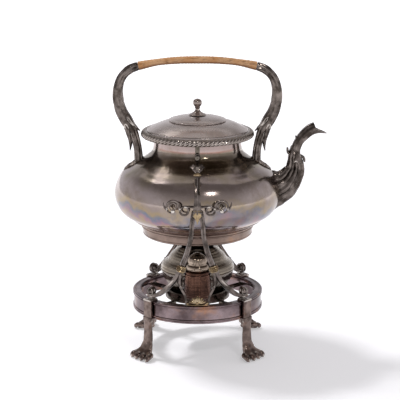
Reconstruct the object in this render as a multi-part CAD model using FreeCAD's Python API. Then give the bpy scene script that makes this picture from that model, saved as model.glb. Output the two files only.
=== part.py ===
import FreeCAD, Part
import math
import os

# A kettle that tilts on two pins in a footed stand, over a spirit burner. Sizes are in millimetres.
# The origin is on the stand's axis at floor level. +X points to the spout, -Y to the front and +Z up.

# Base ring: a band with a lip at each edge and a flat top turned inwards
ring_radius = 85.0
ring_opening = 74.0
ring_bottom = 53.0
ring_height = 23.0
ring_wall = 1.6
ring_lip = 3.0
ring_lip_out = 1.4

# Four paw legs, each a strap over the band
leg_azimuth = 43.0
leg_width = 14.0
leg_strap = 4.0
shin_width = 15.0
shin_thick = 4.2
leg_tab = 2.0
paw_reach = 16.5
toe_radius = 3.8
toe_spacing = 9.2
toe_count = 4
screw_radius = 1.5
screw_head = 3.2
screw_head_height = 2.0
screw_end = 2.0
screw_level = 70.4

# Kettle, measured from the bottom of its foot ring
kettle_base = 151.5
kettle_wall = 1.2
belly_radius = 107.4
belly_level = 55.5
neck_radius = 57.0
neck_level = 116.5
neck_waist = 0.4
neck_flare = 13.0
neck_seam_level = 99.5
mouth_level = 135.5
seam_radius = 83.5
seam_level = 21.5
bottom_radius = 61.0
bottom_level = 9.5

foot_radius = 71.3
foot_height = 11.5
foot_wall = 2.0

rim_radius = 73.0
rim_height = 7.6
rim_land = 66.0

# Lid
lid_radius = 65.3
lid_rise = 12.5
lid_wall = 1.2
dome_radius = 37.0
dome_rise = 6.5
flange_depth = 11.0
flange_clearance = 0.3
knob_height = 20.5
knob_radius = 5.8
knob_foot = 11.5
stud_radius = 2.0
stud_clearance = 0.1
nut_radius = 5.0
nut_height = 3.0

# Handle
grip_half = 75.0
grip_top = 231.5
grip_core = 3.4
grip_swell = 1.08
grip_half_height = 5.0
grip_half_depth = 6.4
tenon_length = 8.0
arm_depth = 11.5
arm_foot_drop = 22.0
foot_leaf_thick = 4.0
foot_leaf_length = 25.0
foot_leaf_width = 17.0

# Spout
spout_wall = 2.2
spout_rings = 24
spout_hole = 9.0

# Pins that carry the kettle
pivot_level = 265.0
pin_reach = 8.3
pivot_out = neck_radius + pin_reach
pin_radius = 1.5
pin_clearance = 0.06
eyelet_thick = 2.6
eyelet_gap = 0.5
lug_width = 6.0
pin_nut_radius = 2.9
pin_nut_height = 2.6

# Front and rear frames, in a plane of their own outside the belly
frame_gap = 3.2
column_thick = 5.0
column_width = 8.0
column_foot_width = 15.6
column_top = 40.0
knop_height = 4.0
column_foot = 5.0
fork_thick = 4.2
fork_width = 5.6
collar_level = 129.5
collar_out = 92.0
collar_half = 20.2
collar_width = 12.0
collar_height = 8.5
collar_depth = 8.0
scroll_width = 6.0
scroll_thick = 4.0
volute_radius = 7.0
volute_ball = 5.4
volute_level = 88.0
volute_place = 80.0
lyre_thick = 3.0
shell_half = 14.0
shell_height = 14.0
bracket_bar = 3.0
bracket_large = 7.8
bracket_large_out = 30.0
bracket_small = 5.2
bracket_small_out = 16.2
bracket_bud = 2.7

# Burner and the cradle that holds it
cradle_radius = 42.0
cradle_bore = 38.0
cradle_bottom = 66.0
cradle_height = 10.0
cradle_ledge = 30.0
cradle_plate = 2.0
cradle_arm = 7.0
cradle_arm_thick = 3.0
burner_wall = 1.0
burner_radius = 48.2
burner_lip = 103.5
burner_foot = 36.0
shroud_mouth = 21.0
shroud_top = 132.5
deck_level = 109.5
wick_radius = 5.8
wick_wall = 1.0
wick_top = 126.5
filler_place = 38.0
filler_radius = 17.8
filler_bulge = 0.6
filler_level = 110.5
filler_thread = 10.4
filler_wall = 1.4
thread_height = 5.0
cap_clearance = 0.3
cap_radius = 15.2
cap_dome = 13.3
cap_band = 8.0
cap_height = 24.0


def vec(x, y, z):
    return FreeCAD.Vector(x, y, z)


def curve(points):
    """A smooth edge through points."""
    spline = Part.BSplineCurve()
    spline.interpolate(points)
    return spline.toShape()


def arc(a, b, c):
    """An arc through three (radius, height) pairs in the XZ plane."""
    return Part.Arc(*flat([a, b, c])).toShape()


def straight(a, b):
    """A straight edge between two (radius, height) pairs in the XZ plane."""
    return Part.makeLine(*flat([a, b]))


def flat(outline):
    """(radius, height) pairs as points in the XZ plane."""
    return [vec(r, 0, z) for r, z in outline]


def offset(outline, distance, steps=28):
    """The smooth curve through an outline, moved sideways to its right by distance."""
    spline = Part.BSplineCurve()
    spline.interpolate(flat(outline))
    first = spline.FirstParameter
    span = spline.LastParameter - first
    moved = []
    for i in range(steps + 1):
        at = first + span * i / steps
        p = spline.value(at)
        t = spline.tangent(at)[0]
        moved.append((p.x + t.z * distance, p.z - t.x * distance))
    return moved


def turned(edges):
    """A solid of revolution about the Z axis from the closed chain of edges."""
    face = Part.Face(Part.Wire(Part.__sortEdges__(edges)))
    return face.revolve(vec(0, 0, 0), vec(0, 0, 1), 360)


def turned_polygon(outline):
    points = flat(outline)
    return Part.Face(Part.makePolygon(points + points[:1])).revolve(vec(0, 0, 0), vec(0, 0, 1), 360)


def shell(outline, wall):
    """A turned sheet whose outside follows the outline and whose wall lies to the outline's right."""
    inner = offset(outline, wall)
    outside = curve(flat(outline))
    inside = curve(flat(inner))
    a, b = flat([outline[0], inner[0]])
    c, d = flat([outline[-1], inner[-1]])
    return turned([outside, Part.makeLine(c, d), inside, Part.makeLine(a, b)])


def cylinder(radius, low, high, x=0.0, y=0.0):
    return Part.makeCylinder(radius, high - low, vec(x, y, low))


def box(x0, x1, y0, y1, z0, z1):
    return Part.makeBox(x1 - x0, y1 - y0, z1 - z0, vec(x0, y0, z0))


def ball(radius, x, y, z):
    return Part.makeSphere(radius, vec(x, y, z))


def one(shape):
    """The shape's largest solid."""
    return max(shape.Solids, key=lambda s: s.Volume)


def joined(shapes):
    return one(shapes[0].fuse(shapes[1:]).removeSplitter())


def mirrored_y(shape):
    return shape.mirror(vec(0, 0, 0), vec(0, 1, 0))


def mirrored_x(shape):
    return shape.mirror(vec(0, 0, 0), vec(1, 0, 0))


def spun(shape, degrees):
    copy = shape.copy()
    copy.rotate(vec(0, 0, 0), vec(0, 0, 1), degrees)
    return copy


def between(values, share):
    """The value at a share, from 0 to 1, of the way along an evenly spaced list."""
    place = share * (len(values) - 1)
    low = min(int(place), len(values) - 2)
    return values[low] + (values[low + 1] - values[low]) * (place - low)


def oval(centre, along, across, half_width, half_depth):
    """An oval wire square to along, with its half_width along across, in two halves."""
    side = (across - along * across.dot(along)).normalize()
    up = along.cross(side).normalize()
    tall = up * half_depth
    weights = [1, math.sqrt(0.5), 1, math.sqrt(0.5), 1]
    halves = []
    for wide in (side * half_width, side * -half_width):
        poles = [centre + wide, centre + wide + tall, centre + tall, centre - wide + tall, centre - wide]
        half = Part.BSplineCurve()
        half.buildFromPolesMultsKnots(poles, (3, 2, 3), (0, 1, 2), False, 2, weights)
        halves.append(half.toShape())
        tall = tall * -1
    return Part.Wire(halves)


def oblong(centre, along, across, half_width, half_depth):
    """A rectangular wire square to along, with its half_width along across."""
    side = (across - along * across.dot(along)).normalize()
    up = along.cross(side).normalize()
    corners = [(1, 1), (-1, 1), (-1, -1), (1, -1), (1, 1)]
    return Part.makePolygon(
        [centre + side * (half_width * a) + up * (half_depth * b) for a, b in corners]
    )


def bar(points, across, widths, depths, section=oval, steps=12):
    """A bar along a smooth line through points. Its width runs along across."""
    spline = Part.BSplineCurve()
    spline.interpolate(points)
    first = spline.FirstParameter
    span = spline.LastParameter - first
    wires = []
    for i in range(steps + 1):
        share = i / steps
        at = first + span * share
        along = spline.tangent(at)[0]
        wires.append(
            section(
                spline.value(at), along, across, between(widths, share) / 2, between(depths, share) / 2
            )
        )
    return Part.makeLoft(wires, True, False)


def kettle_level(height):
    return kettle_base + height


# The neck, its flared foot and the belly down to the seam over the foot ring, as (radius, level)
shoulder = [
    (neck_radius, mouth_level),
    (neck_radius - neck_waist, mouth_level - 10.0),
    (neck_radius - 0.3, neck_level),
    (neck_radius + 0.5, neck_level - 4.5),
    (neck_radius + 3.0, neck_level - 8.5),
    (neck_radius + 7.0, neck_level - 12.4),
    (neck_radius + neck_flare, neck_seam_level),
    (belly_radius - 23.9, neck_seam_level - 8.4),
    (belly_radius - 10.1, belly_level + 26.0),
    (belly_radius - 3.3, belly_level + 14.0),
    (belly_radius, belly_level),
    (belly_radius - 2.1, belly_level - 12.0),
    (belly_radius - 9.2, belly_level - 24.0),
    (seam_radius, seam_level),
    (bottom_radius + 9.0, bottom_level + 3.4),
    (bottom_radius, bottom_level),
]


def kettle_outline():
    return [(r, kettle_level(h)) for r, h in shoulder]


def kettle_filled():
    """All that lies inside the kettle's outside surface."""
    outline = kettle_outline()
    top, bottom = outline[0], outline[-1]
    axis = flat([(0.0, top[1]), (0.0, bottom[1])])
    return turned(
        [
            curve(flat(outline)),
            Part.makeLine(vec(bottom[0], 0, bottom[1]), axis[1]),
            Part.makeLine(axis[1], axis[0]),
            Part.makeLine(axis[0], vec(top[0], 0, top[1])),
        ]
    )


def spout_sections():
    """Centre x, centre level, half height, half width and rise in degrees, from root to beak."""
    low = kettle_level
    return [
        (belly_radius - 18.0, low(56.0), 29.0, 20.0, 2.0),
        (belly_radius + 5.5, low(65.9), 21.5, 18.5, 13.0),
        (belly_radius + 13.7, low(75.1), 17.4, 16.0, 27.8),
        (belly_radius + 18.5, low(83.6), 15.1, 13.6, 36.9),
        (belly_radius + 20.1, low(93.0), 12.4, 11.6, 47.0),
        (belly_radius + 20.2, low(102.0), 10.3, 9.6, 56.0),
        (belly_radius + 21.0, low(112.1), 7.9, 8.0, 68.0),
        (belly_radius + 24.6, low(122.4), 7.4, 7.4, 66.0),
        (belly_radius + 30.8, low(130.4), 7.8, 7.4, 54.0),
        (belly_radius + 38.1, low(136.2), 8.0, 7.4, 41.0),
        (belly_radius + 46.9, low(139.3), 8.3, 7.2, 30.0),
        (belly_radius + 59.5, low(138.8), 7.6, 6.4, 22.0),
    ]


def spout_loft(inset):
    """The spout's body, inset from its outside, in short rings along its bent line."""
    rows = spout_sections()
    marks = [float(i) for i in range(len(rows))]
    middle = Part.BSplineCurve()
    middle.interpolate(Points=[vec(row[0], 0, row[1]) for row in rows], Parameters=marks)
    form = Part.BSplineCurve()
    form.interpolate(Points=[vec(*row[2:]) for row in rows], Parameters=marks)
    wires = []
    for i in range(spout_rings + 1):
        at = marks[-1] * i / spout_rings
        half_height, half_width, rise = form.value(at)
        turn = math.radians(rise)
        along = vec(math.cos(turn), 0, math.sin(turn))
        section = oval(middle.value(at), along, vec(0, 1, 0), half_width - inset, half_height - inset)
        wires.append(section)
    return Part.makeLoft(wires, True, True)


def leaf_tip(x0, h0, x1, h1, width):
    """A leaf's curled tip on the spout, from inside its wall out to a blunt point."""
    root = vec(belly_radius + x0, 0, kettle_level(h0))
    point = vec(belly_radius + x1, 0, kettle_level(h1))
    along = (point - root).normalize()
    side = vec(0, 1, 0)
    wires = [oval(root, along, side, width / 2, 2.6), oval(point, along, side, width / 5, 0.8)]
    return Part.makeLoft(wires, True, True)


def make_spout(filled, pad):
    """The spout. Its beak is cut back from a crest on top to a long lower lip."""
    lip = vec(belly_radius + 59.0, -20, kettle_level(132.5))
    crest = vec(belly_radius + 43.5, -20, kettle_level(142.5))
    far = lip.x + 20.0
    sky = crest.z + 30.0
    corners = [
        vec(far, -20, lip.z - 7.0),
        lip,
        crest + vec(1.6, 0, -5.0),
        crest,
        vec(crest.x - 3.0, -20, crest.z + 6.0),
        vec(crest.x, -20, sky),
        vec(far, -20, sky),
    ]
    above = Part.Face(Part.makePolygon(corners + corners[:1])).extrude(vec(0, 40, 0))
    tips = [
        leaf_tip(15.2, 98.6, 8.1, 109.5, 9.0),
        leaf_tip(24.6, 102.4, 30.9, 93.7, 9.0),
        leaf_tip(23.6, 121.6, 18.7, 128.5, 7.0),
    ]
    solid = joined([spout_loft(0.0)] + tips)
    return one(solid.cut(above).cut(spout_loft(spout_wall)).cut(filled).cut(pad))


def make_kettle_shells():
    """The lower and upper halves of the belly, joined at its widest line, and the neck on top."""
    whole = shell(kettle_outline(), kettle_wall)
    hole = cylinder(spout_hole, 0, belly_radius)
    hole.rotate(vec(0, 0, 0), vec(0, 1, 0), 90)
    hole.translate(vec(belly_radius / 2, 0, kettle_level(belly_level + 6.0)))
    top = kettle_level(mouth_level) + 1.0
    whole = whole.cut(hole)
    above_seam = cylinder(belly_radius, kettle_level(neck_seam_level), top)
    above_middle = cylinder(belly_radius + 1.0, kettle_level(belly_level), top)
    lower = whole.cut(above_middle)
    upper = whole.common(above_middle).cut(above_seam)
    return one(lower), one(upper), one(whole.common(above_seam))


def make_kettle_bottom():
    level = kettle_level(bottom_level)
    return turned_polygon(
        [
            (0.0, level),
            (bottom_radius - kettle_wall, level),
            (bottom_radius - kettle_wall, level + kettle_wall),
            (0.0, level + kettle_wall),
        ]
    )


def make_foot_ring(filled):
    top = kettle_level(foot_height)
    low = kettle_base
    cove = curve(
        flat(
            [
                (seam_radius + 0.3, kettle_level(seam_level)),
                (foot_radius + 6.5, kettle_level(seam_level) - 4.6),
                (foot_radius + 1.2, top + 2.6),
                (foot_radius, top),
            ]
        )
    )
    inner = foot_radius - foot_wall - 2.6
    corners = flat(
        [
            (foot_radius, top),
            (foot_radius + 0.9, top - 1.0),
            (foot_radius, top - 2.2),
            (foot_radius - 1.2, low + 2.0),
            (foot_radius - 2.2, low),
            (inner, low),
            (inner, kettle_level(seam_level)),
            (seam_radius + 0.3, kettle_level(seam_level)),
        ]
    )
    sides = [Part.makeLine(a, b) for a, b in zip(corners, corners[1:])]
    return one(turned([cove] + sides).cut(filled))


def make_rim(filled):
    top = kettle_level(mouth_level)
    low = top - rim_height
    bead = curve(
        flat(
            [
                (rim_land, top + 0.8),
                (rim_radius - 2.6, top - 0.2),
                (rim_radius, top - 3.2),
                (rim_radius - 0.5, top - 5.6),
                (rim_radius - 2.2, low),
            ]
        )
    )
    corners = flat(
        [
            (rim_radius - 2.2, low),
            (neck_radius + 4.0, low),
            (neck_radius - 0.05, low - 3.5),
            (neck_radius, top),
            (rim_land, top),
            (rim_land, top + 0.8),
        ]
    )
    sides = [Part.makeLine(a, b) for a, b in zip(corners, corners[1:])]
    return one(turned([bead] + sides).cut(filled))


def make_lid():
    """The lid's pieces, as names and solids."""
    seat = kettle_level(mouth_level)
    crown = seat + lid_rise
    cover_line = [
        (stud_radius + stud_clearance, crown + 1.2),
        (dome_radius / 2, crown + 1.0),
        (dome_radius, crown),
        ((dome_radius + lid_radius) / 2, crown - 4.2),
        (lid_radius - 4.0, seat + 3.4),
        (lid_radius, seat + lid_wall),
    ]
    under = offset(cover_line, lid_wall)
    edge = under[-1][0]
    cover = turned(
        [
            curve(flat(cover_line)),
            straight(cover_line[-1], (lid_radius, seat)),
            straight((lid_radius, seat), (edge, seat)),
            straight((edge, seat), under[-1]),
            curve(flat(under)),
            straight(under[0], cover_line[0]),
        ]
    )
    solid_top = turned(
        [
            curve(flat(under)),
            straight(under[-1], (edge, crown + 20)),
            straight((edge, crown + 20), (under[0][0], crown + 20)),
            straight((under[0][0], crown + 20), under[0]),
        ]
    )
    sleeve = neck_radius - neck_waist - kettle_wall - flange_clearance
    flange = cylinder(sleeve, seat - flange_depth, crown).cut(
        cylinder(sleeve - lid_wall, seat - flange_depth - 1, crown + 1)
    )
    flange = one(flange.cut(solid_top))
    lift = 1.4
    dome_line = [
        (stud_radius + stud_clearance, crown + dome_rise + lift),
        (dome_radius * 0.3, crown + dome_rise + lift - 0.2),
        (dome_radius * 0.55, crown + dome_rise - 0.4),
        (dome_radius * 0.8, crown + dome_rise - 2.4),
        (dome_radius - 1.2, crown + 2.6),
        (dome_radius, crown + lift),
    ]
    dome = shell(dome_line, lid_wall)
    foot = cylinder(dome_radius, crown - 2, crown + lift).cut(
        cylinder(dome_radius - 2 * lid_wall, crown - 3, crown + lift + 1)
    )
    dome = joined([dome, one(foot)]).cut(cover).cut(solid_below(cover_line))
    dome = one(dome)
    base = crown + dome_rise + lift
    top = base + knob_height
    neck = base + 7.0
    knob_line = [
        (knob_foot, base - 0.6),
        (knob_foot * 0.62, base + 2.0),
        (knob_foot * 0.34, base + 3.6),
        (2.7, neck),
        (knob_radius * 0.82, neck + 3.0),
        (knob_radius, neck + 6.6),
        (knob_radius * 0.8, neck + 10.0),
        (2.2, top - 1.6),
        (0.0, top),
    ]
    knob = turned(
        [
            curve(flat(knob_line)),
            straight((0.0, top), (0.0, base - 0.6)),
            straight((0.0, base - 0.6), (knob_foot, base - 0.6)),
        ]
    )
    nut_top = crown + 1.2 - lid_wall
    stud = cylinder(stud_radius, nut_top - nut_height - 1.0, base + 1.0)
    nut = turned_nut(nut_radius, nut_top - nut_height, nut_top, stud_radius)
    return {
        "lid_cover": cover,
        "lid_flange": flange,
        "lid_dome": dome,
        "lid_knob": joined([one(knob.cut(dome)), stud]),
        "lid_knob_nut": one(nut.cut(cover)),
    }


def solid_below(line):
    """What lies under a lid line, down to its outer end."""
    low = line[-1][1] - 5.0
    return turned(
        [
            curve(flat(line)),
            straight(line[-1], (line[-1][0], low)),
            straight((line[-1][0], low), (line[0][0], low)),
            straight((line[0][0], low), line[0]),
        ]
    )


def turned_nut(radius, low, high, bore):
    """A six-sided nut on the Z axis."""
    corners = []
    for i in range(7):
        turn = math.radians(60 * i)
        corners.append(vec(radius * math.cos(turn), radius * math.sin(turn), low))
    nut = Part.Face(Part.makePolygon(corners)).extrude(vec(0, 0, high - low))
    return one(nut.cut(cylinder(bore, low - 1, high + 1)))


def grip_line(extra=0.0):
    """The middle of the grip, an arch from arm to arm."""
    rise = kettle_level(grip_top) - grip_half_height
    half = grip_half + extra
    return [
        vec(-half, 0, rise - 7.6 - extra * 0.3),
        vec(-grip_half * 0.72, 0, rise - 3.4),
        vec(-grip_half * 0.36, 0, rise - 0.6),
        vec(0, 0, rise),
        vec(grip_half * 0.36, 0, rise - 0.6),
        vec(grip_half * 0.72, 0, rise - 3.4),
        vec(half, 0, rise - 7.6 - extra * 0.3),
    ]


def make_grip():
    across = vec(0, 1, 0)
    core = bar(grip_line(tenon_length), across, [2 * grip_core] * 2, [2 * grip_core] * 2, oval, 16)
    height = 2 * grip_half_height
    heights = [height * grip_swell, height, height, height, height * grip_swell]
    sleeve = bar(grip_line(), across, [2 * grip_half_depth] * 2, heights, oval, 16)
    return core, one(sleeve.cut(core))


def make_arm(filled, pad, core):
    """The left arm: leaf-cast, from the grip's end round and down to the shoulder."""
    half = grip_half
    grip = kettle_level(grip_top)
    foot = kettle_level(neck_level) - arm_foot_drop

    def down(share):
        return grip - (grip - foot) * share

    line = [
        vec(-half, 0, grip - grip_half_height - 7.6),
        vec(-half - 11.6, 0, down(0.127)),
        vec(-half - 21.8, 0, down(0.204)),
        vec(-half - 26.8, 0, down(0.307)),
        vec(-half - 26.6, 0, down(0.416)),
        vec(-half - 22.8, 0, down(0.511)),
        vec(-half - 15.6, 0, down(0.61)),
        vec(-half - 8.6, 0, down(0.697)),
        vec(-half - 4.4, 0, down(0.781)),
        vec(-half - 1.8, 0, down(0.876)),
        vec(-half - 0.6, 0, down(1.0)),
    ]
    heights = [10.6, 11.2, 11.6, 12.4, 13.6, 15.6, 16.4, 13.6, 11.6, 11.6, 12.4]
    depths = [arm_depth, arm_depth, arm_depth * 1.1, arm_depth * 1.05, arm_depth, arm_depth]
    shaft = bar(line, vec(0, 1, 0), depths, heights, oval, 20)
    inner_leaf = bar(
        [
            vec(-half - 18.0, 0, down(0.555)),
            vec(-half - 11.5, 0, down(0.613)),
            vec(-half - 5.0, 0, down(0.662)),
            vec(-half + 1.2, 0, down(0.707)),
        ],
        vec(0, 1, 0),
        [arm_depth, 10.0, 7.5, 3.4],
        [9.0, 7.6, 5.0, 1.6],
        oval,
        8,
    )
    outer_leaf = bar(
        [
            vec(-half - 20.8, 0, down(0.577)),
            vec(-half - 17.0, 0, down(0.708)),
            vec(-half - 13.6, 0, down(0.81)),
            vec(-half - 12.0, 0, down(0.901)),
        ],
        vec(0, 1, 0),
        [11.0, 10.0, 8.0, 3.0],
        [9.0, 8.0, 7.2, 2.2],
        oval,
        10,
    )
    arm = joined([shaft, inner_leaf, outer_leaf])
    return one(arm.cut(core).cut(pad).cut(filled))


def make_foot_leaf(filled):
    """A leaf-shaped pad that follows the shoulder, under the left arm."""
    proud = offset(kettle_outline(), -foot_leaf_thick)
    top, bottom = proud[0], proud[-1]
    skin = turned(
        [
            curve(flat(proud)),
            straight(bottom, (0.0, bottom[1])),
            straight((0.0, bottom[1]), (0.0, top[1])),
            straight((0.0, top[1]), top),
        ]
    )
    centre = vec(-grip_half - 7.5, 0, kettle_level(belly_level + 10))
    leaf = oval(centre, vec(0, 0, 1), vec(1, 0, 0), foot_leaf_length / 2, foot_leaf_width / 2)
    prism = Part.Face(leaf).extrude(vec(0, 0, kettle_level(neck_level + 10) - centre.z))
    return one(skin.common(prism).cut(filled))


def make_trunnion(filled, rim):
    """The front lug under the rim, with the pin that the eyelet hangs on."""
    rim_low = kettle_level(mouth_level) - rim_height
    face = pivot_out - eyelet_thick / 2 - eyelet_gap
    half = lug_width / 2
    lug = box(-half, half, -face, -neck_radius + 4.0, pivot_level - 3.4, rim_low)
    length = eyelet_thick + 2 * eyelet_gap + pin_nut_height
    pin = Part.makeCylinder(pin_radius, length + 2.0, vec(0, -face + 2.0, pivot_level), vec(0, -1, 0))
    return one(joined([lug, pin]).cut(filled).cut(rim))


def make_pin_nut():
    nut = turned_nut(pin_nut_radius, 0, pin_nut_height, pin_radius)
    nut.rotate(vec(0, 0, 0), vec(1, 0, 0), 90)
    nut.translate(vec(0, -pivot_out - eyelet_thick / 2 - eyelet_gap, pivot_level))
    return nut


def kettle_radius_at(level):
    """The outside radius of the kettle at a level, read off its outline."""
    spline = Part.BSplineCurve()
    spline.interpolate(flat(kettle_outline()))
    cut = Part.Line(vec(0, 0, level), vec(300, 0, level))
    return max(p.X for p in spline.intersect(cut))


def column_out(level):
    """How far out the middle of the column lies where it passes a level of the belly."""
    return kettle_radius_at(level) + frame_gap + column_thick / 2


def column_line():
    """The middle of the column, from the knop down to its flared foot."""
    belly = kettle_level(belly_level)
    outs = column_out(belly)
    return [
        vec(0, -outs + 17.0, belly + column_top),
        vec(0, -outs + 8.4, belly + 28.0),
        vec(0, -outs + 2.2, belly + 15.0),
        vec(0, -outs, belly + 2.0),
        vec(0, -outs + 0.2, belly - column_foot),
    ]


def fork_line():
    """The middle of the right fork leg, from the column's foot down to the collar."""
    belly = kettle_level(belly_level)
    outs = column_out(belly)
    return [
        vec(4.4, -outs + 0.2, belly - column_foot + 3.0),
        vec(7.2, -outs + 2.0, belly - 17.0),
        vec(7.8, -outs + 4.8, belly - 30.0),
        vec(10.2, -outs + 10.6, belly - 45.0),
        vec(14.2, -outs + 15.6, belly - 61.0),
        vec(collar_half, -collar_out, collar_level),
    ]


def make_yoke():
    side = vec(1, 0, 0)
    swell = (column_width + column_foot_width) / 2
    widths = [column_width, column_width, column_width * 1.08, swell - 1.0, column_foot_width]
    column = bar(column_line(), side, widths, [column_thick] * 2, oblong, 10)
    right = bar(fork_line(), side, [fork_width, fork_width, fork_width + 2.0], [fork_thick] * 2, oblong, 12)
    return joined([column, right, mirrored_x(right)])


def make_knop(yoke):
    top = column_line()[0]
    line = (column_line()[0] - column_line()[1]).normalize()
    knop = Part.makeCylinder(column_width / 2 + 1.0, knop_height, top, line)
    return one(knop.makeFillet(1.2, knop.Edges[:1] + knop.Edges[2:3]).cut(yoke))


def make_hanger(knop):
    """The eyelet at the top of a frame and the leaf that joins it to the knop."""
    top = column_line()[0]
    line = (column_line()[0] - column_line()[1]).normalize()
    start = top + line * knop_height
    inner = -pivot_out + eyelet_thick / 2
    outward = vec(0, -1, 0)
    eyelet = Part.makeCylinder(3.7, eyelet_thick, vec(0, inner, pivot_level), outward)
    crest = Part.makeCylinder(2.8, eyelet_thick, vec(0, inner, pivot_level + 2.2), outward)
    stem = bar(
        [
            start,
            start + vec(0, 8.0, 5.6),
            vec(0, -pivot_out - 5.0, pivot_level - 6.6),
            vec(0, -pivot_out - 0.2, pivot_level - 3.0),
        ],
        vec(1, 0, 0),
        [6.4, 5.0, 5.4, 4.4],
        [4.0, 3.4, 2.4],
        oval,
        8,
    )
    petals = []
    for way in (-1, 1):
        petals.append(
            bar(
                [
                    start + vec(way * 0.4, 3.0, 2.6),
                    start + vec(way * 4.6, 5.2, 6.0),
                    start + vec(way * 8.6, 6.0, 7.6),
                ],
                vec(0, 0, 1),
                [4.6, 3.4, 1.6],
                [2.6, 1.4],
                oval,
                5,
            )
        )
    hole = Part.makeCylinder(pin_radius + pin_clearance, 20, vec(0, inner + 10, pivot_level), outward)
    return one(joined([eyelet, crest, stem] + petals).cut(hole).cut(knop))


def frame_heading():
    """The plan direction of a scroll leg, from the collar out to its volute on the ring."""
    turn = math.radians(leg_azimuth)
    start = vec(collar_half, -collar_out, 0)
    end = vec(volute_place * math.cos(turn), -volute_place * math.sin(turn), 0)
    return start, (end - start).normalize(), (end - start).Length


def make_scroll_leg():
    """The front right scroll leg, with its volute and the pad under it."""
    start, way, reach = frame_heading()

    def at(along, level):
        return start + way * along + vec(0, 0, level)

    curl = volute_radius - scroll_thick / 2
    points = [
        at(0.0, collar_level - 1.0),
        at(reach * 0.15, collar_level - 14.0),
        at(reach * 0.38, collar_level - 27.0),
        at(reach * 0.64, volute_level + 2.6),
        at(reach * 0.86, volute_level - curl + 1.2),
        at(reach, volute_level - curl),
    ]
    for i in range(1, 7):
        turn = math.radians(-90 + 42 * i)
        tight = curl - 0.22 * i
        points.append(at(reach + tight * math.cos(turn), volute_level + tight * math.sin(turn)))
    across = way.cross(vec(0, 0, 1))
    widths = [scroll_width, scroll_width, scroll_width * 0.9]
    leg = bar(points, across, widths, [scroll_thick, scroll_thick, scroll_thick * 0.7], oblong, 34)
    centre = at(reach, volute_level)
    core = ball(volute_ball, centre.x, centre.y, centre.z)
    pad_top = volute_level - curl
    half = scroll_width / 2 + 1.0
    pad = box(-4.5, 4.5, -half, half, ring_bottom + ring_height + leg_tab, pad_top)
    pad.rotate(vec(0, 0, 0), vec(0, 0, 1), math.degrees(math.atan2(way.y, way.x)))
    pad.translate(start + way * (reach - 1.5))
    return joined([leg, core, pad])


def make_lyre(scroll_leg):
    """The right branch of the lyre below the collar, cut clear of the scroll leg beside it."""
    out = collar_out
    seat = ring_bottom + ring_height
    middle = (ring_opening + ring_radius) / 2
    points = [
        vec(collar_half + 0.4, -out, collar_level - 1.0),
        vec(collar_half + 1.8, -out + 3.6, collar_level - 13.0),
        vec(collar_half + 2.2, -out + 7.0, collar_level - 23.0),
        vec(collar_half - 0.8, -out + 10.0, collar_level - 32.0),
        vec(collar_half - 4.0, -out + 12.0, collar_level - 39.0),
        vec(shell_half + 0.2, -middle, seat + shell_height * 0.4),
        vec(shell_half - 0.4, -middle, seat - 1.0),
    ]
    branch = bar(points, vec(1, 0, 0), [lyre_thick + 0.6, lyre_thick], [lyre_thick], oblong, 12)
    return one(branch.cut(scroll_leg).cut(cylinder(ring_radius, 0, seat)))


def make_shell_ornament(branch):
    """The fan of lobes on the ring between the ends of the lyre."""
    seat = ring_bottom + ring_height
    middle = -(ring_opening + ring_radius) / 2
    lobes = []
    for i in range(7):
        turn = math.radians(-66 + 22 * i)
        reach = shell_height - 3.4
        lobes.append(
            bar(
                [
                    vec(1.6 * math.sin(turn), middle, seat + 2.4),
                    vec(reach * math.sin(turn) * 1.05, middle - 1.4, seat + 2.4 + reach * math.cos(turn)),
                ],
                vec(math.cos(turn), 0, -math.sin(turn)),
                [2.6, 4.4],
                [3.0, 3.6],
                oval,
                1,
            )
        )
    base = box(-shell_half, shell_half, middle - 3.0, middle + 3.0, seat, seat + 3.4)
    fan = joined([base] + lobes)
    return one(fan.cut(branch).cut(mirrored_x(branch)))


def make_collar(yoke, scroll_leg, branch):
    """The clasp round the three bars at the right."""
    side = vec(1, 0, 0)
    axis = vec(0.32, 0.2, -1).normalize()
    centre = vec(collar_half, -collar_out, collar_level - 1.0)
    wires = []
    for share, swell in ((-0.5, 0.86), (-0.25, 1.0), (0.25, 1.0), (0.5, 0.86)):
        wires.append(
            oval(
                centre + axis * (collar_height * share), axis, side,
                collar_width / 2 * swell, collar_depth / 2 * swell,
            )
        )
    clasp = Part.makeLoft(wires, True, False)
    return one(clasp.cut(yoke).cut(scroll_leg).cut(branch))


def hoop(x, z, out, radius, thick, start, sweep):
    """A round bar along part of a circle about (x, z), in a frame's plane, from a start angle."""
    rod = Part.Face(Part.Wire(Part.Circle(vec(x + radius, -out, z), vec(0, 0, 1), thick / 2).toShape()))
    rod.rotate(vec(x, -out, z), vec(0, -1, 0), start)
    return rod.revolve(vec(x, -out, z), vec(0, -1, 0), sweep)


def make_bracket(yoke):
    """The right scroll bracket at the column's foot: a small ring, a large scroll and its bud."""
    belly = kettle_level(belly_level)
    out = column_out(belly)
    thick = bracket_bar
    large_level = belly + 6.0
    small_level = belly + 1.0
    bud_level = large_level - bracket_large + bracket_bud
    large = hoop(bracket_large_out, large_level, out, bracket_large, thick, -75.0, 285.0)
    inner = hoop(bracket_large_out, large_level + 0.6, out, 4.2, thick * 0.72, -58.0, 298.0)
    small = hoop(bracket_small_out, small_level, out, bracket_small, thick * 0.9, 0.0, 360.0)
    stay_start = column_width / 4
    stay = Part.makeCylinder(
        thick * 0.47,
        bracket_small_out - stay_start,
        vec(stay_start, -out, small_level + bracket_small - 0.3),
        vec(1, 0, 0),
    )
    bud = ball(bracket_bud, bracket_large_out, -out, bud_level)
    return one(joined([large, inner, small, stay, bud]).cut(yoke))


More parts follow.
